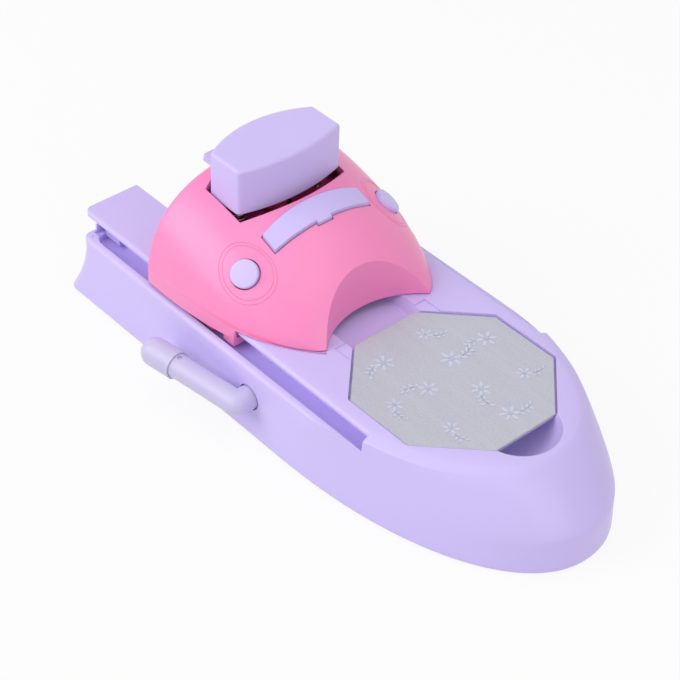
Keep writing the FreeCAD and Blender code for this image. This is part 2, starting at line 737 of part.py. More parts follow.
def shaft_bush():
    """Flanged bush that carries the shaft in the wall's boss."""
    y0 = -wall_inner_y() + 1
    bush = rod((PIVOT_X, y0, PIVOT_Z), (PIVOT_X, y0 + BUSH_LEN, PIVOT_Z), BUSH_R)
    bore = rod((PIVOT_X, y0 - 1, PIVOT_Z), (PIVOT_X, y0 + BUSH_LEN + 1, PIVOT_Z), SHAFT_R + FIT_RUN)
    return bush.cut(bore)


def cam_shaft():
    """Shaft of the lever, with a groove for its clip."""
    shaft = rod((PIVOT_X, 2 - ARM_OUT, PIVOT_Z), (PIVOT_X, RIB_Y0 + RIB_T + 3, PIVOT_Z), SHAFT_R)
    y = RIB_Y0 + RIB_T + CLIP_PLACE
    groove_end = y + CLIP_T + 2 * CLIP_GAP
    groove = tube((PIVOT_X, y, PIVOT_Z), (PIVOT_X, groove_end, PIVOT_Z), SHAFT_R + 1, SHAFT_R - GROOVE_DEPTH)
    return shaft.cut(groove)


def shaft_clip():
    """Open ring clip in the shaft's groove."""
    y = RIB_Y0 + RIB_T + CLIP_PLACE + CLIP_GAP
    ring = tube((PIVOT_X, y, PIVOT_Z), (PIVOT_X, y + CLIP_T, PIVOT_Z), SHAFT_R + 2, SHAFT_R - GROOVE_DEPTH)
    return ring.cut(box(PIVOT_X - 1.4, PIVOT_X + 1.4, y - 1, y + 2, PIVOT_Z - 8, PIVOT_Z))


def nose_place(turn):
    """Centre of the rocker's nose, seen from the shaft, at a lever turn."""
    arm_x = PIVOT_X - HINGE_X
    arm_z = PIVOT_Z + CAM_BASE_R + FIT_SLIDE + NOSE_R - HINGE_Z
    tip = turn * REST_RATIO
    x = arm_x * math.cos(tip) - arm_z * math.sin(tip) + HINGE_X - PIVOT_X
    z = arm_z * math.cos(tip) + arm_x * math.sin(tip) + HINGE_Z - PIVOT_Z
    return x, z


def lift_cam():
    """Spiral cam that raises the rest; its outline follows the nose at an even gap."""
    first = math.radians(-10)
    last = math.radians(LEVER_SWEEP + 12)
    steps = 14
    y = -CAM_HALF
    points = []
    for i in range(steps + 1):
        turn = first + (last - first) * i / steps
        x, z = nose_place(turn)
        reach = math.hypot(x, z) - NOSE_R - FIT_SLIDE
        bearing = math.atan2(-x, z) + turn
        points.append((PIVOT_X - reach * math.sin(bearing), y, PIVOT_Z + reach * math.cos(bearing)))
    start = points[0]
    end = points[-1]
    lean = math.atan2(PIVOT_X - end[0], end[2] - PIVOT_Z)
    base = math.hypot(start[0] - PIVOT_X, start[2] - PIVOT_Z)
    heel = (PIVOT_X - base * math.sin(lean), y, PIVOT_Z + base * math.cos(lean))
    back = lean + (2 * math.pi - lean + math.atan2(PIVOT_X - start[0], start[2] - PIVOT_Z)) / 2
    far = (PIVOT_X - base * math.sin(back), y, PIVOT_Z + base * math.cos(back))
    edges = [curve(points), line(end, heel), arc(heel, far, start)]
    cam = extrude(edges, (0, 2 * CAM_HALF, 0))
    hub = tube((PIVOT_X, -RIB_Y0 + 0.5, PIVOT_Z), (PIVOT_X, RIB_Y0 - 0.5, PIVOT_Z), SHAFT_R + 0.9, SHAFT_R)
    return cam.cut(rod((PIVOT_X, -9, PIVOT_Z), (PIVOT_X, 9, PIVOT_Z), SHAFT_R)).fuse(hub)


def arm_point(along):
    """Point on the lever arm's centre line."""
    splay = math.radians(ARM_SPLAY)
    return (PIVOT_X - along * math.cos(splay), -ARM_OUT - along * math.sin(splay), PIVOT_Z)


def lever_arm():
    """Round lever arm with its elbow, hub and rounded tongue."""
    hub_end = 1 + FIT_SLIDE - wall_inner_y()
    hub = rod((PIVOT_X, -ARM_OUT, PIVOT_Z), (PIVOT_X, hub_end - 2 * FIT_SLIDE, PIVOT_Z), ARM_R)
    elbow = Part.makeSphere(ARM_R, Vec(PIVOT_X, -ARM_OUT, PIVOT_Z))
    arm = rod(arm_point(0), arm_point(ARM_LEN), ARM_R)
    tongue = Part.makeSphere(TONGUE_R, Vec(*arm_point(ARM_LEN)))
    body = union([hub, elbow, arm, tongue])
    socket = rod((PIVOT_X, 2 - ARM_OUT, PIVOT_Z), (PIVOT_X, 0, PIVOT_Z), SHAFT_R)
    return body.cut(socket).cut(knob_pin_bar(KNOB_PIN_R))


def knob_pin_bar(radius):
    """Upright bar through the tongue, from the knob's floor to just above the arm."""
    x, y, z = arm_point(ARM_LEN - KNOB_PIN_BACK)
    return rod((x, y, z - KNOB_R + 0.2), (x, y, z + TONGUE_R + 1), radius)


def knob_pin():
    """Pin that joins the knob to the arm, sunk below the tongue's top."""
    x, y, z = arm_point(ARM_LEN - KNOB_PIN_BACK)
    return rod((x, y, z - KNOB_R + 0.2), (x, y, z + TONGUE_R - 0.7), KNOB_PIN_R)


def lever_knob():
    """Round knob with a hollow for the arm's tongue and a small hole over its pin."""
    centre = KNOB_TIP - KNOB_R
    barrel_part = rod(arm_point(ARM_LEN), arm_point(centre), KNOB_R)
    end = Part.makeSphere(KNOB_R, Vec(*arm_point(centre)))
    body = barrel_part.fuse(end)
    x, y, z = arm_point(ARM_LEN)
    room = TONGUE_R + FIT_RUN
    seat = Part.makeSphere(room, Vec(x, y, z))
    behind = box(-KNOB_R * 2, 0, -10, 10, -10, 10)
    behind.Placement = FreeCAD.Placement(Vec(x, y, z), FreeCAD.Rotation(Vec(0, 0, 1), 180 + ARM_SPLAY))
    return body.cut(seat).cut(behind).cut(knob_pin_bar(KNOB_PIN_R)).removeSplitter()


def rest_rocker():
    """Rocker under the finger trough, with the hinge tube, two posts and the nose."""
    hub_r = PIN_R + 2.0
    bore = rod((HINGE_X, -HINGE_RIB_Y0, HINGE_Z), (HINGE_X, HINGE_RIB_Y0, HINGE_Z), PIN_R + FIT_RUN)
    hub_y = HINGE_RIB_Y0 - FIT_SLIDE
    hub = rod((HINGE_X, -hub_y, HINGE_Z), (HINGE_X, hub_y, HINGE_Z), hub_r)
    bar = box(HINGE_X, ROCKER_FRONT_X, -ROCKER_HALF, ROCKER_HALF, ROCKER_Z0, ROCKER_Z1)
    nose_x, nose_z = nose_place(0)
    nose_z += PIVOT_Z
    nose_x += PIVOT_X
    web_x = ROCKER_FRONT_X - BEAM_POST
    web = box(web_x, ROCKER_FRONT_X, -CAM_HALF, CAM_HALF, ROCKER_Z0, nose_z + BEAM_T)
    beam = box(web_x, nose_x, -CAM_HALF, CAM_HALF, nose_z, nose_z + BEAM_T)
    nose = rod((nose_x, -CAM_HALF, nose_z), (nose_x, CAM_HALF, nose_z), NOSE_R)
    posts = [box(x - POST_LEN / 2, x + POST_LEN / 2, -POST_HALF, POST_HALF, ROCKER_Z1 - 1, post_top())
             for x in POST_XS]
    tray = rod((REST_X0 - 5, 0, FINGER_Z), (REST_X1 + 5, 0, FINGER_Z), REST_R)
    body = union([bar, hub, web, beam, nose] + posts)
    return body.cut(bore).cut(tray)


def post_top():
    """Height above the tray's underside at which the posts are trimmed by it."""
    return FINGER_Z - math.sqrt(REST_R ** 2 - POST_HALF ** 2) + 0.5


def arc_strip(radius, thickness, half_angle, x0, x1):
    """Strip bent about the finger trough's centre line."""
    spread = math.radians(half_angle)
    inner = radius - thickness

    def at(r, turn):
        return (x0, r * math.sin(turn), FINGER_Z - r * math.cos(turn))

    edges = [
        arc(at(radius, -spread), at(radius, 0), at(radius, spread)),
        line(at(radius, spread), at(inner, spread)),
        arc(at(inner, spread), at(inner, 0), at(inner, -spread)),
        line(at(inner, -spread), at(radius, -spread)),
    ]
    return extrude(edges, (x1 - x0, 0, 0))


def finger_rest():
    """Curved tray that the finger lies on."""
    return arc_strip(REST_R, REST_T, REST_ARC, REST_X0, REST_X1)


def rest_liner():
    """Soft liner glued into the tray."""
    return arc_strip(REST_R - REST_T, LINER_T, LINER_ARC, REST_X0 + 2, REST_X1 - 2)


def rest_pin():
    """Hinge pin of the finger rest."""
    reach = HINGE_RIB_Y0 + RIB_T + 0.6
    return rod((HINGE_X, -reach, HINGE_Z), (HINGE_X, reach, HINGE_Z), PIN_R)


# ================================================================ carriage cover
def dome_blend(x):
    """0 at the rear edge, 1 from the blend's end forward."""
    share = (x - DOME_REAR_X) / (DOME_BLEND_X - DOME_REAR_X)
    return min(1.0, max(0.0, share))


def dome_half(x):
    """Half width of the dome at its base."""
    share = (x - DOME_REAR_X) / DOME_W_LEN
    full = DOME_HALF * (1 - share ** DOME_W_POWER) ** (1 / DOME_W_POWER)
    return full - DOME_TUCK * (1 - dome_blend(x))


def dome_rise(x):
    """Height of the dome over its base on the centre line."""
    blend = dome_blend(x)
    rise = DOME_RISE_REAR + (DOME_RISE_FRONT - DOME_RISE_REAR) * blend
    return rise * math.sqrt(1 - ((x - DOME_REAR_X) / DOME_H_LEN) ** 2)


def dome_power(x):
    """Superellipse power of the dome's cross-section."""
    return DOME_POWER_REAR + (DOME_POWER_FRONT - DOME_POWER_REAR) * dome_blend(x)


def dome_z(x, y):
    """Height of the dome's surface over a point of the plan."""
    power = dome_power(x)
    side = (abs(y) / dome_half(x)) ** power
    return DOME_BASE_Z + dome_rise(x) * (1 - side) ** (1 / power)


def dome_wire(x, inset):
    """Cross-section of the dome, drawn in by an inset."""
    half = dome_half(x) - inset
    rise = dome_rise(x) - inset
    power = dome_power(x)
    points = []
    for i in range(DOME_POINTS + 1):
        turn = math.pi * i / DOME_POINTS
        across = abs(math.cos(turn)) ** (2 / power)
        up = abs(math.sin(turn)) ** (2 / power)
        side = 0.0 if i == DOME_POINTS / 2 else math.copysign(across, math.cos(turn))
        points.append(Vec(x, half * side, DOME_BASE_Z + (0.0 if i in (0, DOME_POINTS) else rise * up)))
    spline = Part.BSplineCurve()
    spline.interpolate(points, InitialTangent=Vec(0, 0, 1), FinalTangent=Vec(0, 0, -1))
    foot = DOME_BASE_Z - 5
    left = Vec(x, half, foot)
    right = Vec(x, -half, foot)
    return Part.Wire([
        spline.toShape(),
        Part.makeLine(points[-1], right),
        Part.makeLine(right, left),
        Part.makeLine(left, points[0]),
    ])


def dome_loft(inset, x0):
    """Solid dome drawn in by an inset, from a rear plane to the front."""
    step = (DOME_FRONT_X - x0) / (DOME_SECTIONS - 1)
    places = [x0 + step * i for i in range(DOME_SECTIONS)]
    return Part.makeLoft([dome_wire(x, inset) for x in places], True, False)


def rounded_dome():
    """Solid dome whose rear edge is rounded."""
    places = []
    for i in range(EDGE_SECTIONS):
        turn = math.pi / 2 * i / (EDGE_SECTIONS - 1)
        place = DOME_REAR_X + DOME_EDGE_R * (1 - math.cos(turn))
        places.append(dome_wire(place, DOME_EDGE_R * (1 - math.sin(turn))))
    edge = Part.makeLoft(places, True, False)
    return edge.fuse(dome_loft(0, DOME_REAR_X + DOME_EDGE_R))


def scoop(grow):
    """Upright cone that scoops out the dome's front."""
    z0 = DOME_BASE_Z - 6
    z1 = DOME_BASE_Z + DOME_RISE_REAR + 6

    def radius(z):
        return SCOOP_R + SCOOP_SLOPE * (z - PLATE_TOP_Z) + grow

    return Part.makeCone(radius(z0), radius(z1), z1 - z0, Vec(SCOOP_X, 0, z0))


def button_opening(grow):
    """Prism of the opening in the dome for the stamp button."""
    edges = barrel(OPENING_FRONT_X + grow, OPENING_FRONT_MID_X + grow,
                   OPENING_REAR_X - grow, BUTTON_REAR_MID_X - BUTTON_GAP - grow,
                   BUTTON_HALF + BUTTON_GAP + grow, BRIDGE_Z1 + 3)
    return extrude(edges, (0, 0, 30))


def strip_plan(grow, z0, z1):
    """Prism of the scraper strip's plan with its tab."""
    half = STRIP_HALF + grow
    rear = STRIP_REAR_X - grow
    mid = STRIP_REAR_MID_X - grow
    front = STRIP_FRONT_X + grow
    edges = [
        arc((rear, -half, z0), (mid, 0, z0), (rear, half, z0)),
        line((rear, half, z0), (front, half, z0)),
        line((front, half, z0), (front, -half, z0)),
        line((front, -half, z0), (rear, -half, z0)),
    ]
    body = extrude(edges, (0, 0, z1 - z0))
    tab = box(front - 1, TAB_X + grow, -TAB_HALF - grow, TAB_HALF + grow, z0, z1)
    return body.fuse(tab).removeSplitter()


def side_axis(side):
    """Centre and outward normal of a side button on the dome."""
    step = 0.05
    y = side * SIDE_Y
    z = dome_z(SIDE_X, y)
    slope_x = (dome_z(SIDE_X + step, y) - dome_z(SIDE_X - step, y)) / (2 * step)
    slope_y = (dome_z(SIDE_X, y + step) - dome_z(SIDE_X, y - step)) / (2 * step)
    normal = Vec(-slope_x, -slope_y, 1)
    normal.normalize()
    return Vec(SIDE_X, y, z), normal


def along(centre, normal, distance):
    """Point at a distance along a side button's normal."""
    p = centre + normal * distance
    return (p.x, p.y, p.z)


def side_depth():
    """Depth of the sleeve floor's outer face below the surface."""
    return SIDE_CAP_T - SIDE_PROUD + SIDE_TRAVEL + FIT_SLIDE


def side_sleeves():
    """Closed sleeves behind the side buttons' holes."""
    sleeves = []
    for side in (1, -1):
        centre, normal = side_axis(side)
        deep = side_depth() + SIDE_SLEEVE_T
        sleeves.append(rod(along(centre, normal, -deep), along(centre, normal, -1.0),
                           SIDE_R + FIT_SLIDE + SIDE_SLEEVE_T))
    return sleeves


def side_holes():
    """Holes for the side buttons and their stems."""
    holes = []
    for side in (1, -1):
        centre, normal = side_axis(side)
        holes.append(rod(along(centre, normal, -side_depth()), along(centre, normal, 6), SIDE_R + FIT_SLIDE))
        holes.append(rod(along(centre, normal, -side_depth() - 8), along(centre, normal, 0),
                         SIDE_STEM_R + 0.1))
    return holes


def carriage_bosses():
    """Posts inside the dome that stand on the frame and take its screws."""
    posts = []
    for x, y in CARRIAGE_SCREWS:
        for side in (1, -1):
            posts.append(rod((x, side * y, FRAME_Z1), (x, side * y, dome_z(x, y) - 0.5), CARRIAGE_BOSS_R))
    return posts


def front_hooks():
    """Hooks under the skirts' front ends that grip the slab's edges from below."""
    x0 = SKIRT_FRONT_X - FRONT_HOOK_LEN
    leaf_y = HOOK_Y + FRONT_HOOK_LEAF
    leaf = box(x0, SKIRT_FRONT_X, HOOK_Y, leaf_y, HOOK_Z0, SKIRT_Z + 2)
    foot = box(x0, SKIRT_FRONT_X, HOOK_FOOT_Y, leaf_y, HOOK_Z0, HOOK_Z1)
    return both_sides(leaf.fuse(foot))


def rear_arch():
    """Opening in the dome's rear face for the finger."""
    x = DOME_REAR_X - 2
    knee = ARCH_TOP_Z - 6
    points = [
        (x, -ARCH_HALF, DECK_Z - 5),
        (x, ARCH_HALF, DECK_Z - 5),
        (x, ARCH_HALF, knee),
        (x, ARCH_HALF - 6, ARCH_TOP_Z),
        (x, 6 - ARCH_HALF, ARCH_TOP_Z),
        (x, -ARCH_HALF, knee),
    ]
    return outline(points, (DOME_REAR_T + 3, 0, 0))


def carriage_cover():
    """Domed cover of the carriage with scoop, skirts, rear arch and openings."""
    outer = rounded_dome().cut(scoop(0))
    far = DOME_REAR_X - 5
    near = DOME_FRONT_X + 5
    low = DECK_Z + DOME_GAP
    outer = outer.cut(box(far, near, -HOOK_Y, HOOK_Y, 0, low))
    outer = outer.cut(box(SKIRT_FRONT_X, near, -60, 60, 0, low))
    outer = outer.cut(box(far, near, -60, 60, 0, SKIRT_Z))
    outer = union([outer] + front_hooks())

    cavity = dome_loft(DOME_T, DOME_REAR_X + DOME_REAR_T).cut(scoop(DOME_T))
    roof = FRAME_Z1 + FIT_SLIDE
    cavity = cavity.common(box(far, 0, -HOOK_Y, HOOK_Y, low - 1, 100).fuse(box(far, 0, -60, 60, roof, 100)))
    inner_y = HOOK_Y + HOOK_LEAF + FIT_SLIDE
    room = box(FRAME_X0 - FIT_SLIDE, FRAME_X1 + FIT_SLIDE, -inner_y, inner_y, SKIRT_Z - 5, roof)
    posts = union(carriage_bosses() + side_sleeves())
    body = outer.cut(cavity).cut(room)
    body = body.fuse(posts.common(cavity))

    cuts = [rear_arch(), button_opening(0), strip_plan(STRIP_GAP, ARM_Z1 + 2, 80)] + side_holes()
    for x, y in CARRIAGE_SCREWS:
        for side in (1, -1):
            cuts.append(rod((x, side * y, FRAME_Z1 - 1), (x, side * y, FRAME_Z1 + CARRIAGE_SCREW_LEN),
                            CARRIAGE_SCREW_R + SCREW_FIT))
    for cut in cuts:
        body = body.cut(cut)
    return body


# ================================================================ carriage frame
def carriage_frame():
    """Inner frame: deck rails with hooks, side walls, bridge and scraper cross bar."""
    leaf_y = HOOK_Y + HOOK_LEAF
    half = [
        box(FRAME_X0, FRAME_X1, SIDE_Y0, leaf_y, FRAME_Z0, FRAME_Z1),
        box(FRAME_X0, FRAME_X1, HOOK_Y, leaf_y, HOOK_Z0, FRAME_Z1),
        box(FRAME_X0, FRAME_X1, HOOK_FOOT_Y, leaf_y, HOOK_Z0, HOOK_Z1),
        box(BRIDGE_X0, BRIDGE_X1, SIDE_Y0, SIDE_Y1, FRAME_Z0, BRIDGE_Z1),
        box(BRIDGE_X1 - 3, ARM_X1, ARM_Y0, ARM_Y1, ARM_Z0, ARM_Z1),
        box(BRIDGE_X1 - 3, BRIDGE_X1, ARM_Y0, SIDE_Y1, ARM_Z0 - 6, ARM_Z1),
    ]
    half = union(half)
    bridge = box(BRIDGE_X0, BRIDGE_X1, -SIDE_Y1, SIDE_Y1, BRIDGE_Z0, BRIDGE_Z1)
    cross = box(SCRAPER_X - 3.6, ARM_X1, -ARM_Y1, ARM_Y1, ARM_Z0, ARM_Z1)
    body = union(both_sides(half) + [bridge, cross])
    body = body.cut(rod((STAMP_X, 0, 0), (STAMP_X, 0, 90), BUSHING_R))
    for side in (1, -1):
        body = body.cut(rod((STAMP_X, side * PIN_Y, 40), (STAMP_X, side * PIN_Y, 60), GUIDE_PIN_R + FIT_RUN))
        body = body.cut(rod((SCRAPER_X, side * LEG_Y, 40), (SCRAPER_X, side * LEG_Y, 60), LEG_R + FIT_RUN))
    for glide in glide_blocks():
        body = body.cut(glide)
    for x, y in CARRIAGE_SCREWS:
        for side in (1, -1):
            body = body.cut(rod((x, side * y, 20), (x, side * y, 40), CARRIAGE_SCREW_R + FIT_SLIDE))
            head_room = CARRIAGE_HEAD_R + FIT_SLIDE
            body = body.cut(rod((x, side * y, 30.0), (x, side * y, CARRIAGE_HEAD_Z), head_room))
    return body


def glide_blocks():
    """Glide pads under the rails."""
    pads = []
    for x in GLIDE_XS:
        for side in (1, -1):
            y = side * GLIDE_Y
            pads.append(box(x - GLIDE_LEN / 2, x + GLIDE_LEN / 2, y - GLIDE_HALF_W, y + GLIDE_HALF_W,
                            GLIDE_Z, FRAME_Z0 + 0.8))
    return pads


def carriage_screws():
    """Screws that hold the frame to the cover."""
    screws = []
    for x, y in CARRIAGE_SCREWS:
        for side in (1, -1):
            head = rod((x, side * y, FRAME_Z0 + 0.05), (x, side * y, CARRIAGE_HEAD_Z), CARRIAGE_HEAD_R)
            end = FRAME_Z1 + CARRIAGE_SCREW_LEN - 1
            shank = rod((x, side * y, CARRIAGE_HEAD_Z), (x, side * y, end), CARRIAGE_SCREW_R)
            screws.append(head.fuse(shank))
    return Part.makeCompound(screws)


def stem_bushing():
    """Flanged bushing of the stamp's stem, pressed into the bridge."""
    body = rod((STAMP_X, 0, BRIDGE_Z0), (STAMP_X, 0, BRIDGE_Z1), BUSHING_R)
    return body.cut(rod((STAMP_X, 0, 0), (STAMP_X, 0, 90), STEM_R + FIT_RUN))


# ================================================================ stamp
def button_block(inset, z0, z1):
    """Prism of the button's plan."""
    edges = barrel(BUTTON_FRONT_X - inset, BUTTON_FRONT_MID_X - inset,
                   BUTTON_REAR_X + inset, BUTTON_REAR_MID_X + inset, BUTTON_HALF - inset, z0)
    return extrude(edges, (0, 0, z1 - z0))


def button_cap():
    """Broad stamp button with a hollow underside and a rounded rim."""
    block = button_block(0, BUTTON_Z, BUTTON_TOP_Z)
    upright = [e for e in block.Edges if e.BoundBox.ZLength > 5]
    block = block.makeFillet(BUTTON_UPRIGHT_R, upright)
    rim = [e for e in block.Edges if e.BoundBox.ZMin > BUTTON_TOP_Z - 1e-4]
    block = block.makeFillet(BUTTON_EDGE_R, rim)
    reach = (BUTTON_DISH_R ** 2 - BUTTON_DISH ** 2) / (2 * BUTTON_DISH)
    dish = Part.makeSphere(reach + BUTTON_DISH, Vec(STAMP_X, 0, BUTTON_TOP_Z + reach))
    roof = button_roof()
    hollow = button_block(BUTTON_WALL, BUTTON_Z - 1, roof)
    body = block.cut(dish).cut(hollow)
    sockets = [tube((STAMP_X, 0, BUTTON_Z + 3), (STAMP_X, 0, roof + 0.2), STEM_R + 1.8, STEM_R)]
    for side in (1, -1):
        y = side * PIN_Y
        sockets.append(tube((STAMP_X, y, spring_top()), (STAMP_X, y, roof + 0.2), SPRING_R, GUIDE_PIN_R))
    return union([body] + sockets)


def button_roof():
    """Underside of the button's top."""
    return BUTTON_TOP_Z - BUTTON_DISH - BUTTON_WALL


def spring_top():
    """Upper end of the return springs."""
    return BUTTON_TOP_Z - SPRING_DROP


def stamp_stem():
    """Round stem from the button to the holder."""
    return rod((STAMP_X, 0, HOLDER_SEAT_Z), (STAMP_X, 0, button_roof()), STEM_R)


def guide_pins():
    """Two pins that keep the button from turning."""
    pins = []
    for side in (1, -1):
        y = side * PIN_Y
        pins.append(rod((STAMP_X, y, BRIDGE_Z0 - 0.5), (STAMP_X, y, button_roof()), GUIDE_PIN_R))
    return Part.makeCompound(pins)


def stamp_holder():
    """Round cup that holds the stamping pad."""
    cup = rod((STAMP_X, 0, HOLDER_Z0), (STAMP_X, 0, HOLDER_Z1), HOLDER_R)
    cup = cup.cut(rod((STAMP_X, 0, HOLDER_Z0 - 1), (STAMP_X, 0, HOLDER_SEAT_Z), PAD_R))
    return cup.cut(rod((STAMP_X, 0, HOLDER_SEAT_Z), (STAMP_X, 0, HOLDER_Z1 + 1), STEM_R))


def stamp_pad():
    """Soft stamping pad with a domed face."""
    reach = (PAD_R ** 2 - PAD_DOME ** 2) / (2 * PAD_DOME)
    ball = Part.makeSphere(reach + PAD_DOME, Vec(STAMP_X, 0, PAD_Z0 + reach + PAD_DOME))
    return rod((STAMP_X, 0, PAD_Z0), (STAMP_X, 0, HOLDER_SEAT_Z), PAD_R).common(ball)


def return_spring(side):
    """Return spring of the stamp round one guide pin."""
    return coil((STAMP_X, side * PIN_Y), SPRING_R - SPRING_WIRE, SPRING_WIRE, SPRING_TURNS,
                BRIDGE_Z1, spring_top())


# ================================================================ scraper
def scraper_strip():
    """Curved strip in the dome's top that is pressed to lower the blade."""
    shell = dome_loft(-STRIP_PROUD, DOME_REAR_X).cut(dome_loft(STRIP_DEEP, DOME_REAR_X))
    strip = shell.common(strip_plan(0, DECK_Z, 80))
    strip = strip.cut(box(-200, 0, -60, 60, 0, ARM_Z1 + 2))
    return strip


def scraper_legs():
    """Two legs from the strip down to the blade's clamp."""
    under = dome_loft(STRIP_DEEP, DOME_REAR_X)
    legs = []
    for side in (1, -1):
        y = side * LEG_Y
        leg = rod((SCRAPER_X, y, CLAMP_Z0), (SCRAPER_X, y, DOME_BASE_Z + DOME_RISE_REAR), LEG_R)
        legs.append(leg.common(under))
    return legs


def scraper_clamp():
    """Clamp bar that holds the blade."""
    bar = box(SCRAPER_X - CLAMP_T / 2, SCRAPER_X + CLAMP_T / 2, -CLAMP_HALF, CLAMP_HALF, CLAMP_Z0, CLAMP_Z1)
    for leg in scraper_legs():
        bar = bar.cut(leg)
    return bar.cut(scraper_blade())


def scraper_blade():
    """Thin steel blade."""
    half = BLADE_HALF - LEG_R - 1
    return box(SCRAPER_X - BLADE_T / 2, SCRAPER_X + BLADE_T / 2, -half, half, BLADE_Z, CLAMP_Z0 + 2)


def scraper_spring(side):
    """Return spring of the scraper round one leg."""
    top = dome_z(SCRAPER_X, LEG_Y) - STRIP_DEEP - SCRAPER_SPRING_GAP
    return coil((SCRAPER_X, side * LEG_Y), SCRAPER_SPRING_R, SPRING_WIRE, SCRAPER_SPRING_TURNS, ARM_Z1, top)


# ================================================================ side buttons
def side_button(side):
    """Round push button set into the dome's flank."""
    centre, normal = side_axis(side)
    cap = rod(along(centre, normal, SIDE_PROUD - SIDE_CAP_T), along(centre, normal, SIDE_PROUD), SIDE_R)
    rim = [e for e in cap.Edges if (e.CenterOfMass - Vec(*along(centre, normal, SIDE_PROUD))).Length < 0.01]
    cap = cap.makeFillet(0.5, rim)
    floor = side_depth() + SIDE_SLEEVE_T
    deep_end = along(centre, normal, -floor - 1.5)
    stem = rod(deep_end, along(centre, normal, -1), SIDE_STEM_R)
    head = rod(deep_end, along(centre, normal, -floor - 0.1), SIDE_STEM_R + 0.9)
    return cap.fuse(stem).fuse(head).removeSplitter()


# ================================================================ all sub-parts
def main():
    """Build and write every sub-part."""
    os.makedirs("parts", exist_ok=True)
    save("base_shell", base_shell())
    save("bottom_cover", bottom_cover())
    save("base_mat", base_mat())
    save("cover_screws", cover_screws())
    save("travel_stops", travel_stops())
    save("image_plate", image_plate())
    save("shaft_bush", shaft_bush())
    save("cam_shaft", cam_shaft())
    save("shaft_clip", shaft_clip())
    save("lift_cam", lift_cam())
    save("lever_arm", lever_arm())
    save("lever_knob", lever_knob())
    save("knob_pin", knob_pin())
    save("rest_rocker", rest_rocker())
    save("finger_rest", finger_rest())
    save("rest_liner", rest_liner())
    save("rest_pin", rest_pin())
    save("carriage_cover", carriage_cover())
    save("carriage_frame", carriage_frame())
    save("glide_pads", Part.makeCompound(glide_blocks()))
    save("carriage_screws", carriage_screws())
    save("stem_bushing", stem_bushing())
    save("button_cap", button_cap())
    save("stamp_stem", stamp_stem())
    save("guide_pins", guide_pins())
    save("stamp_holder", stamp_holder())
    save("stamp_pad", stamp_pad())
    save("scraper_strip", scraper_strip())
    save("scraper_legs", Part.makeCompound(scraper_legs()))
    save("scraper_clamp", scraper_clamp())
    save("scraper_blade", scraper_blade())
    for name, side in (("far", 1), ("near", -1)):
        save("return_spring_" + name, return_spring(side))
        save("scraper_spring_" + name, scraper_spring(side))
        save("side_button_" + name, side_button(side))


main()
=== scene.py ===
import logging
import math
from dataclasses import dataclass, field
from enum import Enum
from typing import Any, Union

import bmesh
import bpy
from mathutils import Matrix, Vector


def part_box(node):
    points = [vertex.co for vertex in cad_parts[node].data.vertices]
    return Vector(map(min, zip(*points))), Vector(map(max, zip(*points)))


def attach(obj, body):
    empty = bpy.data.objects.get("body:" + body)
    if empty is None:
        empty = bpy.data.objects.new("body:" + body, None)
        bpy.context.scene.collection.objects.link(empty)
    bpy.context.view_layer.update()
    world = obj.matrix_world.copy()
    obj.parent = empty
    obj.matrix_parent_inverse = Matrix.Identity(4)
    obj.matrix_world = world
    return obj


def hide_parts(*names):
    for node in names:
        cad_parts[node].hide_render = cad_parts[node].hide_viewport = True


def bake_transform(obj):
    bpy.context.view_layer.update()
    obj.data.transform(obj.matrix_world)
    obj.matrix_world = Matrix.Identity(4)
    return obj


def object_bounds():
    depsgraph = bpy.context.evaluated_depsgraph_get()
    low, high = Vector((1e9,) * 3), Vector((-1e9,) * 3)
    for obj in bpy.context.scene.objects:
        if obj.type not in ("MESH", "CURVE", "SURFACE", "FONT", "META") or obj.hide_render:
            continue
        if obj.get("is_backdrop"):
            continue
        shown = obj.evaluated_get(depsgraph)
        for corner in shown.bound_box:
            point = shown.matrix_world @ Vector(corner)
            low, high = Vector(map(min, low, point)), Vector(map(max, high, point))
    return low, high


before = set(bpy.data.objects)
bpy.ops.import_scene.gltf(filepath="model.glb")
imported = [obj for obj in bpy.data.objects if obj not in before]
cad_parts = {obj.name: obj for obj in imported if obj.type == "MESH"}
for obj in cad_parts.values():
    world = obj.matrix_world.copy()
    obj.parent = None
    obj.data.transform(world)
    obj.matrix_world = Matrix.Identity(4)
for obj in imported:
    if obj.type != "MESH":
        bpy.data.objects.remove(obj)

LOG = logging.getLogger("stamping_machine")
MM = 0.001
MIDDLE = 0.5
BEVEL_SAMPLES = 4
MERGE_DISTANCE = 0.002 * MM
Triple = tuple[float, float, float]
Colour = Triple
Shade = tuple[float, float, float, float]
WHITE: Shade = (1.0, 1.0, 1.0, 1.0)
Owner = Union[bpy.types.Material, bpy.types.World]


# ---------------------------------------------------------------- colours
SCREEN_KNEE = 0.04045
SCREEN_SLOPE = 12.92
SCREEN_OFFSET = 0.055
SCREEN_POWER = 2.4


def linear(code: str) -> Colour:
    """Turn a screen colour into the linear one that a shader takes.

    Args:
        code: Six hexadecimal digits, red first.

    Returns:
        Red, green and blue in linear light.
    """
    parts = [int(code[i:i + 2], 16) / 255 for i in (0, 2, 4)]
    return tuple(
        part / SCREEN_SLOPE if part <= SCREEN_KNEE
        else ((part + SCREEN_OFFSET) / (1 + SCREEN_OFFSET)) ** SCREEN_POWER
        for part in parts)


def shade(colour: Colour, share: float) -> Colour:
    """Return a colour darkened or lightened by a share."""
    return tuple(min(1.0, part * share) for part in colour)


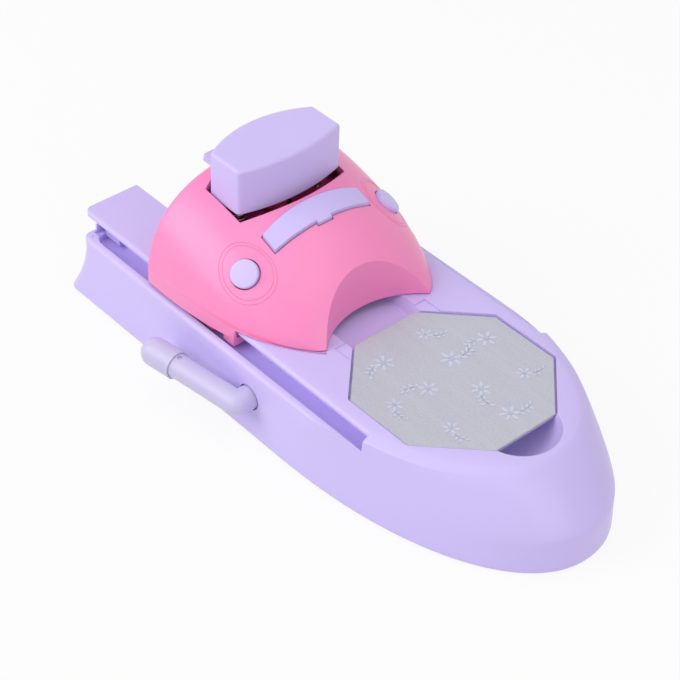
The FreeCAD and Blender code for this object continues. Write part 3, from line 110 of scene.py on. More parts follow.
# ---------------------------------------------------------------- shader maths
class Value:
    """A number socket of a shader tree, with arithmetic that adds Math nodes."""

    def __init__(self, graph: "Graph", socket: bpy.types.NodeSocket) -> None:
        """Wrap one output socket of a graph."""
        self.graph = graph
        self.socket = socket

    def _math(self, operation: str, a: Any, b: Any) -> "Value":
        """Add one Math node and return its result."""
        made = self.graph.node("ShaderNodeMath", {"operation": operation}, {0: a, 1: b})
        return Value(self.graph, made.outputs[0])

    def __add__(self, other: Any) -> "Value":
        """Sum."""
        return self._math("ADD", self, other)

    def __sub__(self, other: Any) -> "Value":
        """Difference."""
        return self._math("SUBTRACT", self, other)

    def __mul__(self, other: Any) -> "Value":
        """Product."""
        return self._math("MULTIPLY", self, other)

    def over(self, limit: float) -> "Value":
        """1 where the value is above a limit, else 0."""
        return self._math("GREATER_THAN", self, limit)

    def larger(self, other: Any) -> "Value":
        """The larger of two values."""
        return self._math("MAXIMUM", self, other)


class Graph:
    """The node tree of a material or of the world."""

    def __init__(self, owner: Owner) -> None:
        """Empty the owner's node tree.

        Args:
            owner: The material or world that the tree belongs to.
        """
        self.owner = owner
        self.owner.use_nodes = True
        self.tree = self.owner.node_tree
        self.tree.nodes.clear()

    def node(self, kind: str, settings: dict[str, Any], inputs: dict[Any, Any]) -> bpy.types.Node:
        """Add any node.

        Args:
            kind: The node's type.
            settings: Properties that are set first.
            inputs: Values or links, by socket name or number.

        Returns:
            The new node.
        """
        made = self.tree.nodes.new(kind)
        for key, value in settings.items():
            setattr(made, key, value)
        for key, value in inputs.items():
            source = value.socket if isinstance(value, Value) else value
            if isinstance(source, bpy.types.NodeSocket):
                self.tree.links.new(source, made.inputs[key])
            else:
                made.inputs[key].default_value = source
        return made

    def place(self) -> bpy.types.NodeSocket:
        """Return the object coordinates."""
        return self.node("ShaderNodeTexCoord", {}, {}).outputs["Object"]

    def noise(self, scale: float, detail: float = 2.0, stretch: Triple = (1.0, 1.0, 1.0)) -> Value:
        """Add a noise over the object's coordinates.

        Args:
            scale: Blotches to the metre.
            detail: Finer layers.
            stretch: Scale along each axis.

        Returns:
            The noise's value, about 0.5 on average.
        """
        place = self.node("ShaderNodeMapping", {}, {"Vector": self.place(), "Scale": stretch})
        made = self.node("ShaderNodeTexNoise", {}, {
            "Vector": place.outputs[0], "Scale": scale, "Detail": detail})
        return Value(self, made.outputs["Fac"])

    def mix(self, factor: Value, first: Colour, second: Colour) -> bpy.types.NodeSocket:
        """Mix two colours by a value.

        Args:
            factor: 0 for the first colour and 1 for the second.
            first: The first colour.
            second: The second colour.

        Returns:
            The mixed colour.
        """
        made = self.node("ShaderNodeMix", {"data_type": "RGBA"}, {
            0: factor, 6: (*first, 1.0), 7: (*second, 1.0)})
        return made.outputs[2]

    def relief(self, height: Value, depth: float, strength: float, edge: float) -> bpy.types.NodeSocket:
        """Add a fine relief over softly rounded edges.

        Args:
            height: Height of the relief, 0 to 1.
            depth: Full depth in metres.
            strength: Share of the relief that shows.
            edge: Radius of the rounded edges in metres.

        Returns:
            The normal.
        """
        rounded = self.node("ShaderNodeBevel", {"samples": BEVEL_SAMPLES}, {"Radius": edge})
        made = self.node("ShaderNodeBump", {}, {
            "Height": height, "Distance": depth, "Strength": strength, "Normal": rounded.outputs[0]})
        return made.outputs[0]

    def finish(self, **sockets: Any) -> bpy.types.Material:
        """Close the tree with a Principled shader.

        Args:
            **sockets: Values or links by socket name, with underscores for spaces.

        Returns:
            The material.
        """
        inputs = {name.replace("_", " "): value for name, value in sockets.items()}
        shader = self.node("ShaderNodeBsdfPrincipled", {}, inputs)
        self.node("ShaderNodeOutputMaterial", {}, {"Surface": shader.outputs[0]})
        return self.owner


def material_graph(name: str) -> Graph:
    """Start the node tree of a new material."""
    return Graph(bpy.data.materials.new(name))


# ---------------------------------------------------------------- finishes
class Slot(Enum):
    """Material slots of the machine."""

    LAVENDER = "lavender"
    PINK = "pink"
    LEVER = "lever_plastic"
    INNER = "inner_plastic"
    PLATE = "plate_steel"
    SCREW = "screw_steel"
    SPRING = "spring_steel"
    BRASS = "bush_brass"
    PAD = "pad"
    LINER = "liner"
    MAT = "mat"


@dataclass(frozen=True)
class MouldedPlastic:
    """Injection-moulded plastic with a faint grain and cloudy gloss."""

    colour: Colour
    roughness: float = 0.36
    coat: float = 0.12
    coat_roughness: float = 0.22
    glow: float = 0.0
    glow_depth: float = 2.0 * MM
    glow_spread: Triple = (0.8, 0.7, 1.0)
    refraction: float = 1.46
    edge: float = 0.35 * MM
    cloud_scale: float = 22.0
    cloud_gloss: float = 0.08
    tint_shares: tuple[float, float] = (0.985, 1.012)
    grain_scale: float = 2400.0
    grain_gloss: float = 0.05
    grain_depth: float = 0.03 * MM
    grain_strength: float = 0.12
    scuff_scale: float = 60.0
    scuff_stretch: Triple = (1.0, 14.0, 6.0)
    scuff_limit: float = 0.66
    scuff_gloss: float = 0.04

    def material(self, name: str) -> bpy.types.Material:
        """Build the material.

        Args:
            name: Name of the material.

        Returns:
            The material.
        """
        graph = material_graph(name)
        cloud = graph.noise(self.cloud_scale, detail=3.0)
        grain = graph.noise(self.grain_scale)
        scuff = graph.noise(self.scuff_scale, detail=6.0, stretch=self.scuff_stretch).over(self.scuff_limit)
        tint = graph.mix(cloud, *(shade(self.colour, share) for share in self.tint_shares))
        gloss = (cloud - MIDDLE) * self.cloud_gloss + (grain - MIDDLE) * self.grain_gloss
        return graph.finish(
            Base_Color=tint, Roughness=gloss + scuff * self.scuff_gloss + self.roughness,
            IOR=self.refraction, Coat_Weight=self.coat, Coat_Roughness=self.coat_roughness,
            Subsurface_Weight=self.glow, Subsurface_Radius=self.glow_spread, Subsurface_Scale=self.glow_depth,
            Normal=graph.relief(grain, self.grain_depth, self.grain_strength, self.edge))


@dataclass(frozen=True)
class PlateMetal:
    """Thin etched sheet steel with a fine sparkle and a rolled direction."""

    colour: Colour
    roughness: float = 0.42
    metallic: float = 0.45
    edge: float = 0.1 * MM
    sparkle_scale: float = 1500.0
    sparkle_share: float = 0.75
    sparkle_gloss: float = 0.3
    sparkle_depth: float = 0.02 * MM
    relief_strength: float = 0.25
    rolled_scale: float = 420.0
    rolled_stretch: Triple = (0.08, 1.0, 1.0)
    tint_shares: tuple[float, float] = (0.72, 1.25)

    def material(self, name: str) -> bpy.types.Material:
        """Build the material.

        Args:
            name: Name of the material.

        Returns:
            The material.
        """
        graph = material_graph(name)
        sparkle = graph.noise(self.sparkle_scale, detail=4.0)
        rolled = graph.noise(self.rolled_scale, detail=3.0, stretch=self.rolled_stretch)
        blend = sparkle * self.sparkle_share + rolled * (1.0 - self.sparkle_share)
        tint = graph.mix(blend, *(shade(self.colour, share) for share in self.tint_shares))
        return graph.finish(
            Base_Color=tint, Roughness=(sparkle - MIDDLE) * self.sparkle_gloss + self.roughness,
            Metallic=self.metallic,
            Normal=graph.relief(sparkle, self.sparkle_depth, self.relief_strength, self.edge))


@dataclass(frozen=True)
class TurnedMetal:
    """Small metal parts with fine tool marks."""

    colour: Colour
    roughness: float = 0.28
    edge: float = 0.12 * MM
    marks_scale: float = 900.0
    marks_stretch: Triple = (1.0, 1.0, 6.0)
    marks_gloss: float = 0.15
    marks_depth: float = 0.02 * MM
    marks_strength: float = 0.15
    tint_shares: tuple[float, float] = (0.9, 1.05)

    def material(self, name: str) -> bpy.types.Material:
        """Build the material.

        Args:
            name: Name of the material.

        Returns:
            The material.
        """
        graph = material_graph(name)
        marks = graph.noise(self.marks_scale, detail=3.0, stretch=self.marks_stretch)
        tint = graph.mix(marks, *(shade(self.colour, share) for share in self.tint_shares))
        return graph.finish(
            Base_Color=tint, Roughness=(marks - MIDDLE) * self.marks_gloss + self.roughness, Metallic=1.0,
            Normal=graph.relief(marks, self.marks_depth, self.marks_strength, self.edge))


@dataclass(frozen=True)
class SoftRubber:
    """Matte rubber or silicone with a powdery grain."""

    colour: Colour
    roughness: float = 0.7
    edge: float = 0.3 * MM
    powder_scale: float = 1100.0
    powder_gloss: float = 0.12
    powder_depth: float = 0.05 * MM
    powder_strength: float = 0.3
    tint_shares: tuple[float, float] = (0.95, 1.03)

    def material(self, name: str) -> bpy.types.Material:
        """Build the material.

        Args:
            name: Name of the material.

        Returns:
            The material.
        """
        graph = material_graph(name)
        powder = graph.noise(self.powder_scale, detail=3.0)
        tint = graph.mix(powder, *(shade(self.colour, share) for share in self.tint_shares))
        return graph.finish(
            Base_Color=tint, Roughness=(powder - MIDDLE) * self.powder_gloss + self.roughness,
            Normal=graph.relief(powder, self.powder_depth, self.powder_strength, self.edge))


Finish = Union[MouldedPlastic, PlateMetal, TurnedMetal, SoftRubber]

FINISHES: dict[Slot, Finish] = {
    Slot.LAVENDER: MouldedPlastic(linear("D3C3FB")),
    Slot.PINK: MouldedPlastic(linear("FF8FC6"), roughness=0.34, coat=0.15),
    Slot.LEVER: MouldedPlastic(linear("CDC5E8"), roughness=0.4, glow=0.35, edge=0.2 * MM),
    Slot.INNER: MouldedPlastic(linear("F0589F"), roughness=0.5, coat=0.0),
    Slot.PLATE: PlateMetal(linear("BFBFCB"), roughness=0.58, edge=0.25 * MM),
    Slot.SCREW: TurnedMetal(linear("C2C2C6")),
    Slot.SPRING: TurnedMetal(linear("C9C9CE"), roughness=0.2),
    Slot.BRASS: TurnedMetal(linear("CDAE68")),
    Slot.PAD: SoftRubber(linear("EDE6F2"), roughness=0.45),
    Slot.LINER: SoftRubber(linear("F2A9D0")),
    Slot.MAT: SoftRubber(linear("9E92B4")),
}


class FinishShelf:
    """Every finish, built once and handed out by slot."""

    def __init__(self) -> None:
        """Start with nothing built."""
        self.built: dict[Slot, bpy.types.Material] = {}

    def take(self, slot: Slot) -> bpy.types.Material:
        """Hand out one finish.

        Args:
            slot: The finish's slot.

        Returns:
            The material.
        """
        if slot not in self.built:
            self.built[slot] = FINISHES[slot].material("finish_" + slot.value)
        return self.built[slot]


# ---------------------------------------------------------------- meshes
def skin_of(node: str, name: str, crease: float) -> bpy.types.Object:
    """Copy a node's mesh, merge it and shade it smooth up to a crease.

    Args:
        node: The node that is copied.
        name: Name of the new piece.
        crease: Angle in degrees above which an edge stays sharp.

    Returns:
        The new piece, at the origin.
    """
    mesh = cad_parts[node].data.copy()
    mesh.name = name
    work = bmesh.new()
    work.from_mesh(mesh)
    bmesh.ops.remove_doubles(work, verts=work.verts, dist=MERGE_DISTANCE)
    bmesh.ops.dissolve_degenerate(work, edges=work.edges, dist=MERGE_DISTANCE / 2)
    limit = math.radians(crease)
    for face in work.faces:
        face.smooth = True
    for edge in work.edges:
        edge.smooth = len(edge.link_faces) == 2 and edge.calc_face_angle(math.pi) < limit
    work.to_mesh(mesh)
    work.free()
    if "custom_normal" in mesh.attributes:
        mesh.attributes.remove(mesh.attributes["custom_normal"])
    piece = bpy.data.objects.new(name, mesh)
    bpy.context.scene.collection.objects.link(piece)
    return piece


class Tree:
    """A geometry node tree with named inputs, run once into a plain mesh."""

    def __init__(self, name: str, inputs: dict[str, tuple[str, Any]]) -> None:
        """Make the tree and its interface.

        Args:
            name: Name of the tree.
            inputs: Socket type and value by input name.
        """
        self.group = bpy.data.node_groups.new(name, "GeometryNodeTree")
        self.values: dict[str, Any] = {}
        for key, (kind, value) in inputs.items():
            item = self.group.interface.new_socket(key, in_out="INPUT", socket_type="NodeSocket" + kind)
            self.values[item.identifier] = value
        self.group.interface.new_socket("Geometry", in_out="OUTPUT", socket_type="NodeSocketGeometry")
        self.source = self.group.nodes.new("NodeGroupInput")
        self.sink = self.group.nodes.new("NodeGroupOutput")

    def given(self, name: str) -> bpy.types.NodeSocket:
        """Return a named input."""
        return self.source.outputs[name]

    def add(self, kind: str, settings: dict[str, Any], inputs: dict[Any, Any]) -> bpy.types.Node:
        """Add any node.

        Args:
            kind: The node's type.
            settings: Properties that are set first.
            inputs: Values, links or lists of links, by socket name or number.

        Returns:
            The new node.
        """
        made = self.group.nodes.new(kind)
        for key, value in settings.items():
            setattr(made, key, value)
        for key, value in inputs.items():
            for part in value if isinstance(value, list) else [value]:
                if isinstance(part, bpy.types.NodeSocket):
                    self.group.links.new(part, made.inputs[key])
                else:
                    made.inputs[key].default_value = part
        return made

    def node(self, kind: str, settings: dict[str, Any], inputs: dict[Any, Any]) -> bpy.types.NodeSocket:
        """Add any node and return its first output that is in use."""
        return next(out for out in self.add(kind, settings, inputs).outputs if out.enabled)

    def run(self, name: str, result: bpy.types.NodeSocket, material: bpy.types.Material) -> bpy.types.Object:
        """Close the tree, run it and keep its result as a plain mesh.

        Args:
            name: Name of the new piece.
            result: The geometry that the tree makes.
            material: Material of the result.

        Returns:
            The new piece, at the origin.
        """
        real = self.node("GeometryNodeRealizeInstances", {}, {"Geometry": result})
        dressed = self.node("GeometryNodeSetMaterial", {}, {"Geometry": real, "Material": material})
        self.group.links.new(dressed, self.sink.inputs[0])
        host = bpy.data.objects.new(name + "_host", bpy.data.meshes.new(name + "_host"))
        bpy.context.scene.collection.objects.link(host)
        modifier = host.modifiers.new("build", "NODES")
        modifier.node_group = self.group
        for identifier, value in self.values.items():
            modifier[identifier] = value
        graph = bpy.context.evaluated_depsgraph_get()
        mesh = bpy.data.meshes.new_from_object(host.evaluated_get(graph), depsgraph=graph)
        mesh.name = name
        mesh.materials.clear()
        mesh.materials.append(material)
        mesh.polygons.foreach_set("material_index", [0] * len(mesh.polygons))
        bpy.data.objects.remove(host)
        piece = bpy.data.objects.new(name, mesh)
        bpy.context.scene.collection.objects.link(piece)
        return piece


# ---------------------------------------------------------------- sub-assemblies
@dataclass(frozen=True)
class Skin:
    """One node that is shown through a smooth, finished copy."""

    node: str
    name: str
    slot: Slot
    crease: float = 28.0
    stands_on: str = ""


@dataclass
class SubAssembly:
    """Pieces of one body."""

    shelf: FinishShelf
    body: str
    skins: tuple[Skin, ...]

    def keep(self, piece: bpy.types.Object, slot: Slot) -> None:
        """Let a piece ride on the body and report it.

        Args:
            piece: The finished piece.
            slot: Its material slot; not used.
        """
        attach(piece, self.body)
        LOG.info("%s on %s: %d faces", piece.name, self.body, len(piece.data.polygons))

    def hold(self, piece: bpy.types.Object, skin: Skin) -> None:
        """Bake a coil's place into its mesh and report the body that its foot stands on and this one.

        Args:
            piece: The finished coil.
            skin: Its row of the sub-assembly.
        """
        low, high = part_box(skin.node)
        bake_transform(piece)
        LOG.info("%s between %s and %s", piece.name, skin.stands_on, self.body)

    def build(self) -> None:
        """Build and dress every skin."""
        for skin in self.skins:
            piece = skin_of(skin.node, skin.name, skin.crease)
            piece.data.materials.clear()
            piece.data.materials.append(self.shelf.take(skin.slot))
            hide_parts(skin.node)
            if skin.stands_on:
                self.hold(piece, skin)
            else:
                self.keep(piece, skin.slot)


@dataclass
class PlateMotifs(SubAssembly):
    """Etched flower motifs on the image plate, in two rings."""

    petals: int = 6
    petal_length: float = 2.4 * MM
    petal_width: float = 1.0 * MM
    petal_start: float = 0.5 * MM
    heart_petals: int = 5
    heart_length: float = 0.5 * MM
    heart_width: float = 0.4 * MM
    heart_start: float = 0.1 * MM
    leaves: int = 6
    leaf_length: float = 1.7 * MM
    leaf_width_share: float = 0.45
    leaf_turn: float = -0.75
    leaf_swing: float = 2.0
    blade_sides: int = 12
    blade_reach: float = 0.6
    stem: tuple[Triple, Triple, Triple] = (
        (2.6 * MM, 0.0, 0.0), (4.2 * MM, 0.2 * MM, 0.0), (6.2 * MM, 2.2 * MM, 0.0))
    stem_steps: int = 12
    stem_radius: float = 0.09 * MM
    stem_sides: int = 4
    stem_flatness: float = 0.15
    depth: float = 0.03 * MM
    layer: float = 0.004 * MM
    rings: tuple[tuple[int, float, float], ...] = ((3, 9.0 * MM, 0.35), (7, 21.5 * MM, 0.1))
    sizes: tuple[float, float] = (0.85, 1.2)
    seed: int = 4
    finish: PlateMetal = PlateMetal(linear("CCD2EA"), roughness=0.5, metallic=0.15)

    def blade(self, tree: Tree, length: float, width: float) -> bpy.types.NodeSocket:
        """Make one flat pointed oval that starts at the origin.

        Args:
            tree: The tree that it is made in.
            length: Length along X.
            width: Width along Y.

        Returns:
            Its geometry.
        """
        disc = tree.node("GeometryNodeMeshCylinder", {}, {
            "Vertices": self.blade_sides, "Radius": 0.5, "Depth": self.depth})
        return tree.node("GeometryNodeTransform", {}, {
            "Geometry": disc, "Translation": (length * self.blade_reach, 0.0, 0.0),
            "Scale": (length, width, 1.0)})

    def stacked(self, tree: Tree, points: bpy.types.NodeSocket, base: float) -> bpy.types.NodeSocket:
        """Lift each point by a thin layer more than the last, so that no two shapes share a plane.

        Args:
            tree: The tree that they are in.
            points: The points.
            base: Height of the first point.

        Returns:
            The lifted points.
        """
        index = tree.node("GeometryNodeInputIndex", {}, {})
        height = tree.node("ShaderNodeMath", {"operation": "MULTIPLY_ADD"}, {
            0: index, 1: self.layer, 2: base})
        lift = tree.node("ShaderNodeCombineXYZ", {}, {"Z": height})
        return tree.node("GeometryNodeSetPosition", {}, {"Geometry": points, "Offset": lift})

    def fan(self, tree: Tree, shape: bpy.types.NodeSocket, count: int, radius: float,
            base: float = 0.0) -> bpy.types.NodeSocket:
        """Set copies of a shape round a small circle, each pointing outwards.

        Args:
            tree: The tree that they are made in.
            shape: The geometry that is copied.
            count: How many copies.
            radius: Radius of the circle.
            base: Height of the first copy.

        Returns:
            The copies as instances.
        """
        ring = tree.node("GeometryNodeMeshCircle", {}, {"Vertices": count, "Radius": radius})
        circle = self.stacked(tree, ring, base)
        index = tree.node("GeometryNodeInputIndex", {}, {})
        turn = tree.node("ShaderNodeMath", {"operation": "MULTIPLY"}, {0: index, 1: math.tau / count})
        spin = tree.node("ShaderNodeCombineXYZ", {}, {"Z": turn})
        return tree.node("GeometryNodeInstanceOnPoints", {}, {
            "Points": circle, "Instance": shape, "Rotation": spin})

    def sprig(self, tree: Tree) -> bpy.types.NodeSocket:
        """Make a bent stem with leaves on alternate sides.

        Args:
            tree: The tree that it is made in.

        Returns:
            Its geometry.
        """
        start, middle, end = self.stem
        stem = tree.node("GeometryNodeCurveQuadraticBezier", {}, {
            "Resolution": self.stem_steps, "Start": start, "Middle": middle, "End": end})
        wire = tree.node("GeometryNodeCurvePrimitiveCircle", {}, {
            "Resolution": self.stem_sides, "Radius": self.stem_radius})
        body = tree.node("GeometryNodeCurveToMesh", {}, {"Curve": stem, "Profile Curve": wire})
        flat = tree.node("GeometryNodeTransform", {}, {
            "Geometry": body, "Scale": (1.0, 1.0, self.stem_flatness)})
        along = tree.node("GeometryNodeCurveToPoints", {"mode": "COUNT"}, {
            "Curve": stem, "Count": self.leaves})
        points = self.stacked(tree, along, self.depth)
        index = tree.node("GeometryNodeInputIndex", {}, {})
        odd = tree.node("ShaderNodeMath", {"operation": "MODULO"}, {0: index, 1: 2.0})
        side = tree.node("ShaderNodeMath", {"operation": "MULTIPLY_ADD"}, {
            0: odd, 1: self.leaf_swing, 2: self.leaf_turn})
        spin = tree.node("ShaderNodeCombineXYZ", {}, {"Z": side})
        leaf = self.blade(tree, self.leaf_length, self.leaf_length * self.leaf_width_share)
        leaves = tree.node("GeometryNodeInstanceOnPoints", {}, {
            "Points": points, "Instance": leaf, "Rotation": spin})
        return tree.node("GeometryNodeJoinGeometry", {}, {"Geometry": [leaves, flat]})

    def motif(self, tree: Tree) -> bpy.types.NodeSocket:
        """Make one flower with its heart and its sprig.

        Args:
            tree: The tree that it is made in.

        Returns:
            Its geometry.
        """
        petal = self.blade(tree, self.petal_length, self.petal_width)
        flower = self.fan(tree, petal, self.petals, self.petal_start)
        speck = self.blade(tree, self.heart_length, self.heart_width)
        heart = self.fan(tree, speck, self.heart_petals, self.heart_start, 2 * self.depth)
        return tree.node("GeometryNodeJoinGeometry", {}, {"Geometry": [flower, heart, self.sprig(tree)]})

    def motifs(self) -> bpy.types.Object:
        """Build every motif of the plate as one piece.

        Returns:
            The new piece.
        """
        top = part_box("image_plate")[1].z
        tree = Tree("plate_motif_tree", {
            "Height": ("Float", top + self.depth / 2), "Seed": ("Int", self.seed)})
        motif = self.motif(tree)
        rings = []
        for count, radius, start in self.rings:
            circle = tree.node("GeometryNodeMeshCircle", {}, {"Vertices": count, "Radius": radius})
            lift = tree.node("ShaderNodeCombineXYZ", {}, {"Z": tree.given("Height")})
            rings.append(tree.node("GeometryNodeTransform", {}, {
                "Geometry": circle, "Translation": lift, "Rotation": (0.0, 0.0, start)}))
        points = tree.node("GeometryNodeJoinGeometry", {}, {"Geometry": rings})
        turn = tree.node("FunctionNodeRandomValue", {"data_type": "FLOAT_VECTOR"}, {
            "Min": (0.0, 0.0, 0.0), "Max": (0.0, 0.0, math.tau), "Seed": tree.given("Seed")})
        size = tree.node("FunctionNodeRandomValue", {"data_type": "FLOAT"}, {
            2: self.sizes[0], 3: self.sizes[1], "Seed": tree.given("Seed")})
        placed = tree.node("GeometryNodeInstanceOnPoints", {}, {
            "Points": points, "Instance": motif, "Rotation": turn, "Scale": size})
        return tree.run("plate_motifs", placed, self.finish.material("finish_etched_motif"))

    def build(self) -> None:
        """Build the skins and the motifs."""
        super().build()
        self.keep(self.motifs(), Slot.PLATE)


@dataclass
class Carriage(SubAssembly):
    """Domed cover with raised lines round its side buttons."""

    centre: Vector = field(default_factory=lambda: Vector((-61.7, 27.8, 0.0)) * MM)
    half_length: float = 9.9 * MM
    half_width: float = 6.4 * MM
    lean: float = -0.24
    line_radius: float = 0.12 * MM
    line_sides: int = 8
    loop_points: int = 96
    shares: tuple[float, ...] = (1.0, 0.88)
    start_height: float = 80 * MM
    ray_length: float = 100 * MM

    def raised_lines(self, side: int) -> bpy.types.Object:
        """Lay two oval lines on the dome round one side button.

        Args:
            side: 1 on the far side and -1 on the near side.

        Returns:
            The new piece.
        """
        name = "dome_lines_far" if side > 0 else "dome_lines_near"
        tree = Tree(name + "_tree", {"Dome": ("Object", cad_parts["carriage_cover"]),
                                     "Line radius": ("Float", self.line_radius)})
        dome = tree.add("GeometryNodeObjectInfo", {}, {"Object": tree.given("Dome")})
        loops = []
        for share in self.shares:
            loop = tree.node("GeometryNodeCurvePrimitiveCircle", {}, {
                "Resolution": self.loop_points, "Radius": 1.0})
            loops.append(tree.node("GeometryNodeTransform", {}, {
                "Geometry": loop, "Scale": (self.half_length * share, self.half_width * share, 1.0),
                "Rotation": (0.0, 0.0, side * self.lean),
                "Translation": (self.centre.x, side * self.centre.y, self.start_height)}))
        flat = tree.node("GeometryNodeJoinGeometry", {}, {"Geometry": loops})
        ray = tree.add("GeometryNodeRaycast", {}, {
            "Target Geometry": dome.outputs["Geometry"], "Ray Direction": (0.0, 0.0, -1.0),
            "Ray Length": self.ray_length})
        laid = tree.node("GeometryNodeSetPosition", {}, {
            "Geometry": flat, "Position": ray.outputs["Hit Position"]})
        wire = tree.node("GeometryNodeCurvePrimitiveCircle", {}, {
            "Resolution": self.line_sides, "Radius": tree.given("Line radius")})
        lines = tree.node("GeometryNodeCurveToMesh", {}, {"Curve": laid, "Profile Curve": wire})
        smooth = tree.node("GeometryNodeSetShadeSmooth", {}, {0: lines})
        return tree.run(name, smooth, self.shelf.take(Slot.PINK))

    def build(self) -> None:
        """Build the skins and the raised lines."""
        super().build()
        for side in (1, -1):
            self.keep(self.raised_lines(side), Slot.PINK)


def assemblies(shelf: FinishShelf) -> list[SubAssembly]:
    """List the machine's sub-assemblies in building order.

    Args:
        shelf: The finishes that they share.

    Returns:
        The sub-assemblies.
    """
    lavender, inner, steel, spring = Slot.LAVENDER, Slot.INNER, Slot.SCREW, Slot.SPRING
    return [
        PlateMotifs(shelf, "base", (
            Skin("base_shell", "housing", lavender, 24.0), Skin("bottom_cover", "floor_cover", lavender),
            Skin("base_mat", "foot_mat", Slot.MAT), Skin("cover_screws", "floor_screws", steel),
            Skin("travel_stops", "rear_stops", lavender),
            Skin("image_plate", "etched_plate", Slot.PLATE, 15.0),
            Skin("shaft_bush", "lever_bush", Slot.BRASS), Skin("rest_pin", "hinge_pin", steel))),
        SubAssembly(shelf, "lever", (
            Skin("lever_arm", "arm", Slot.LEVER), Skin("lever_knob", "knob", Slot.LEVER),
            Skin("knob_pin", "knob_peg", Slot.LEVER), Skin("cam_shaft", "shaft", steel),
            Skin("shaft_clip", "clip", steel), Skin("lift_cam", "cam", inner))),
        SubAssembly(shelf, "rest", (
            Skin("rest_rocker", "rocker", inner), Skin("finger_rest", "finger_tray", lavender),
            Skin("rest_liner", "tray_liner", Slot.LINER))),
        Carriage(shelf, "carriage", (
            Skin("carriage_cover", "dome", Slot.PINK, 22.0), Skin("carriage_frame", "inner_frame", inner),
            Skin("glide_pads", "glides", inner), Skin("carriage_screws", "frame_screws", steel),
            Skin("stem_bushing", "stem_bush", Slot.BRASS))),
        SubAssembly(shelf, "stamp", (
            Skin("button_cap", "stamp_button", lavender, 24.0), Skin("stamp_stem", "stem", inner),
            Skin("guide_pins", "pins", steel), Skin("stamp_holder", "pad_cup", lavender),
            Skin("stamp_pad", "pad_face", Slot.PAD),
            Skin("return_spring_far", "coil_far", spring, stands_on="carriage"),
            Skin("return_spring_near", "coil_near", spring, stands_on="carriage"))),
        SubAssembly(shelf, "scraper", (
            Skin("scraper_strip", "wiper_strip", lavender), Skin("scraper_legs", "wiper_legs", inner),
            Skin("scraper_clamp", "blade_clamp", inner), Skin("scraper_blade", "blade", Slot.PLATE),
            Skin("scraper_spring_far", "wiper_coil_far", spring, stands_on="carriage"),
            Skin("scraper_spring_near", "wiper_coil_near", spring, stands_on="carriage"))),
        SubAssembly(shelf, "side_button_far_body", (Skin("side_button_far", "disc_far", lavender),)),
        SubAssembly(shelf, "side_button_near_body", (Skin("side_button_near", "disc_near", lavender),)),
    ]


# ---------------------------------------------------------------- studio
@dataclass(frozen=True)
class Lamp:
    """One soft rectangular lamp that looks at the machine."""

    name: str
    place: Triple
    size: float
    power: float

    def build(self) -> None:
        """Hang the lamp."""
        data = bpy.data.lights.new(self.name, "AREA")
        data.size = self.size
        data.energy = self.power
        lamp = bpy.data.objects.new(self.name, data)
        lamp.location = self.place
        lamp.rotation_mode = "QUATERNION"
        lamp.rotation_quaternion = (-Vector(self.place)).to_track_quat("-Z", "Y")
        bpy.context.scene.collection.objects.link(lamp)


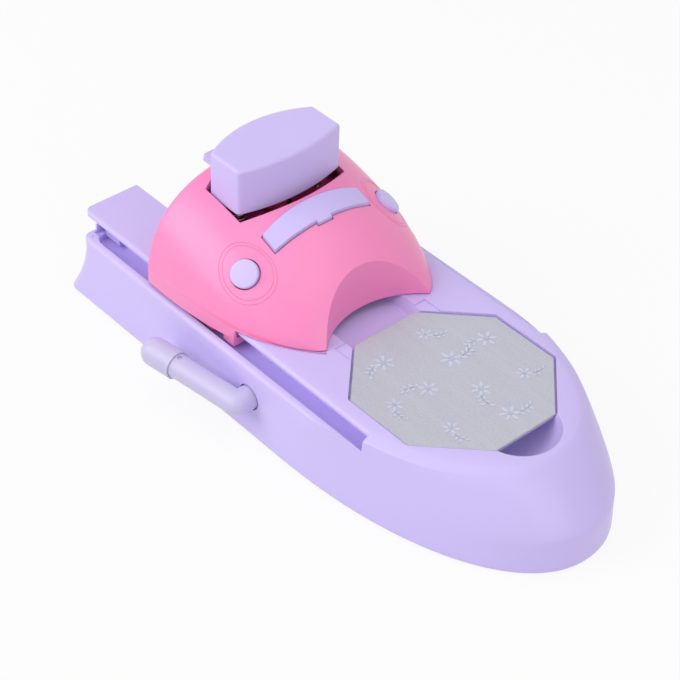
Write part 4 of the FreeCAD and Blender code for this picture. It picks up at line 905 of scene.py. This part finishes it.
@dataclass(frozen=True)
class Studio:
    """White floor, white surroundings, soft lamps and the camera."""

    floor_size: float = 6.0
    floor_colour: Shade = (0.88, 0.88, 0.88, 1.0)
    floor_show: float = 0.88
    ambient: float = 0.4
    lamps: tuple[Lamp, ...] = (
        Lamp("lamp_top", (0.05, 0.05, 0.95), 0.9, 2.3),
        Lamp("lamp_left", (-0.42, -0.72, 0.62), 0.7, 5.0),
        Lamp("lamp_right", (0.85, -0.1, 0.45), 0.7, 1.9),
    )
    azimuth: float = 47.037
    elevation: float = 40.393
    roll: float = 2.314
    camera_place: Triple = (0.301379, -0.327042, 0.420475)
    lens: float = 105.88
    sensor_width: float = 36.0
    clip_start: float = 0.01

    def seen(self, graph: Graph) -> Value:
        """Tell the rays that show a surface from those that only light it.

        Args:
            graph: The tree that asks.

        Returns:
            1 for rays from the camera, a gloss or a clear body, else 0.
        """
        rays = graph.node("ShaderNodeLightPath", {}, {}).outputs
        total = Value(graph, rays["Is Camera Ray"])
        for name in ("Is Glossy Ray", "Is Transmission Ray"):
            total = total.larger(rays[name])
        return total

    def surroundings(self) -> None:
        """Make the white world that lights softly."""
        world = bpy.data.worlds.new("surroundings")
        bpy.context.scene.world = world
        graph = Graph(world)
        soft = graph.node("ShaderNodeBackground", {}, {"Color": WHITE, "Strength": self.ambient})
        white = graph.node("ShaderNodeBackground", {}, {"Color": WHITE})
        mix = graph.node("ShaderNodeMixShader", {}, {
            0: self.seen(graph), 1: soft.outputs[0], 2: white.outputs[0]})
        graph.node("ShaderNodeOutputWorld", {}, {"Surface": mix.outputs[0]})

    def floor(self) -> None:
        """Lay the pale floor, which keeps the machine's shadow."""
        half = self.floor_size / 2
        mesh = bpy.data.meshes.new("floor")
        corners = [(-half, -half, 0), (half, -half, 0), (half, half, 0), (-half, half, 0)]
        mesh.from_pydata(corners, [], [(0, 1, 2, 3)])
        graph = material_graph("pale_floor")
        matte = graph.node("ShaderNodeBsdfDiffuse", {}, {"Color": self.floor_colour})
        white = graph.node("ShaderNodeEmission", {}, {})
        mix = graph.node("ShaderNodeMixShader", {}, {
            0: self.seen(graph) * self.floor_show, 1: matte.outputs[0], 2: white.outputs[0]})
        graph.node("ShaderNodeOutputMaterial", {}, {"Surface": mix.outputs[0]})
        mesh.materials.append(graph.owner)
        piece = bpy.data.objects.new("floor", mesh)
        bpy.context.scene.collection.objects.link(piece)
        piece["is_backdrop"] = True

    def camera(self) -> None:
        """Set the camera up."""
        data = bpy.data.cameras.new("camera")
        data.lens = self.lens
        data.sensor_width = self.sensor_width
        data.clip_start = self.clip_start
        turn, rise, roll = (math.radians(a) for a in (self.azimuth, self.elevation, self.roll))
        back = Vector((math.sin(turn) * math.cos(rise), -math.cos(turn) * math.cos(rise), math.sin(rise)))
        right = Vector((math.cos(turn), math.sin(turn), 0.0))
        up = back.cross(right)
        side = right * math.cos(roll) + up * math.sin(roll)
        top = up * math.cos(roll) - right * math.sin(roll)
        camera = bpy.data.objects.new("camera", data)
        pose = Matrix((side, top, back)).transposed().to_4x4()
        pose.translation = Vector(self.camera_place)
        camera.matrix_world = pose
        bpy.context.scene.collection.objects.link(camera)
        bpy.context.scene.camera = camera

    def build(self) -> None:
        """Set the whole studio up."""
        bpy.context.scene.view_settings.view_transform = "Standard"
        self.surroundings()
        self.floor()
        self.camera()
        for lamp in self.lamps:
            lamp.build()


def corners() -> list[list[float]]:
    """Return the lowest and highest corner of what is shown."""
    return [list(corner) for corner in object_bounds()]


def main() -> None:
    """Build the machine's pieces and the studio."""
    logging.basicConfig(level=logging.INFO, format="%(name)s: %(message)s")
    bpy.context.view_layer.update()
    shelf = FinishShelf()
    for assembly in assemblies(shelf):
        assembly.build()
    Studio().build()


if __name__ == "__main__":
    main()
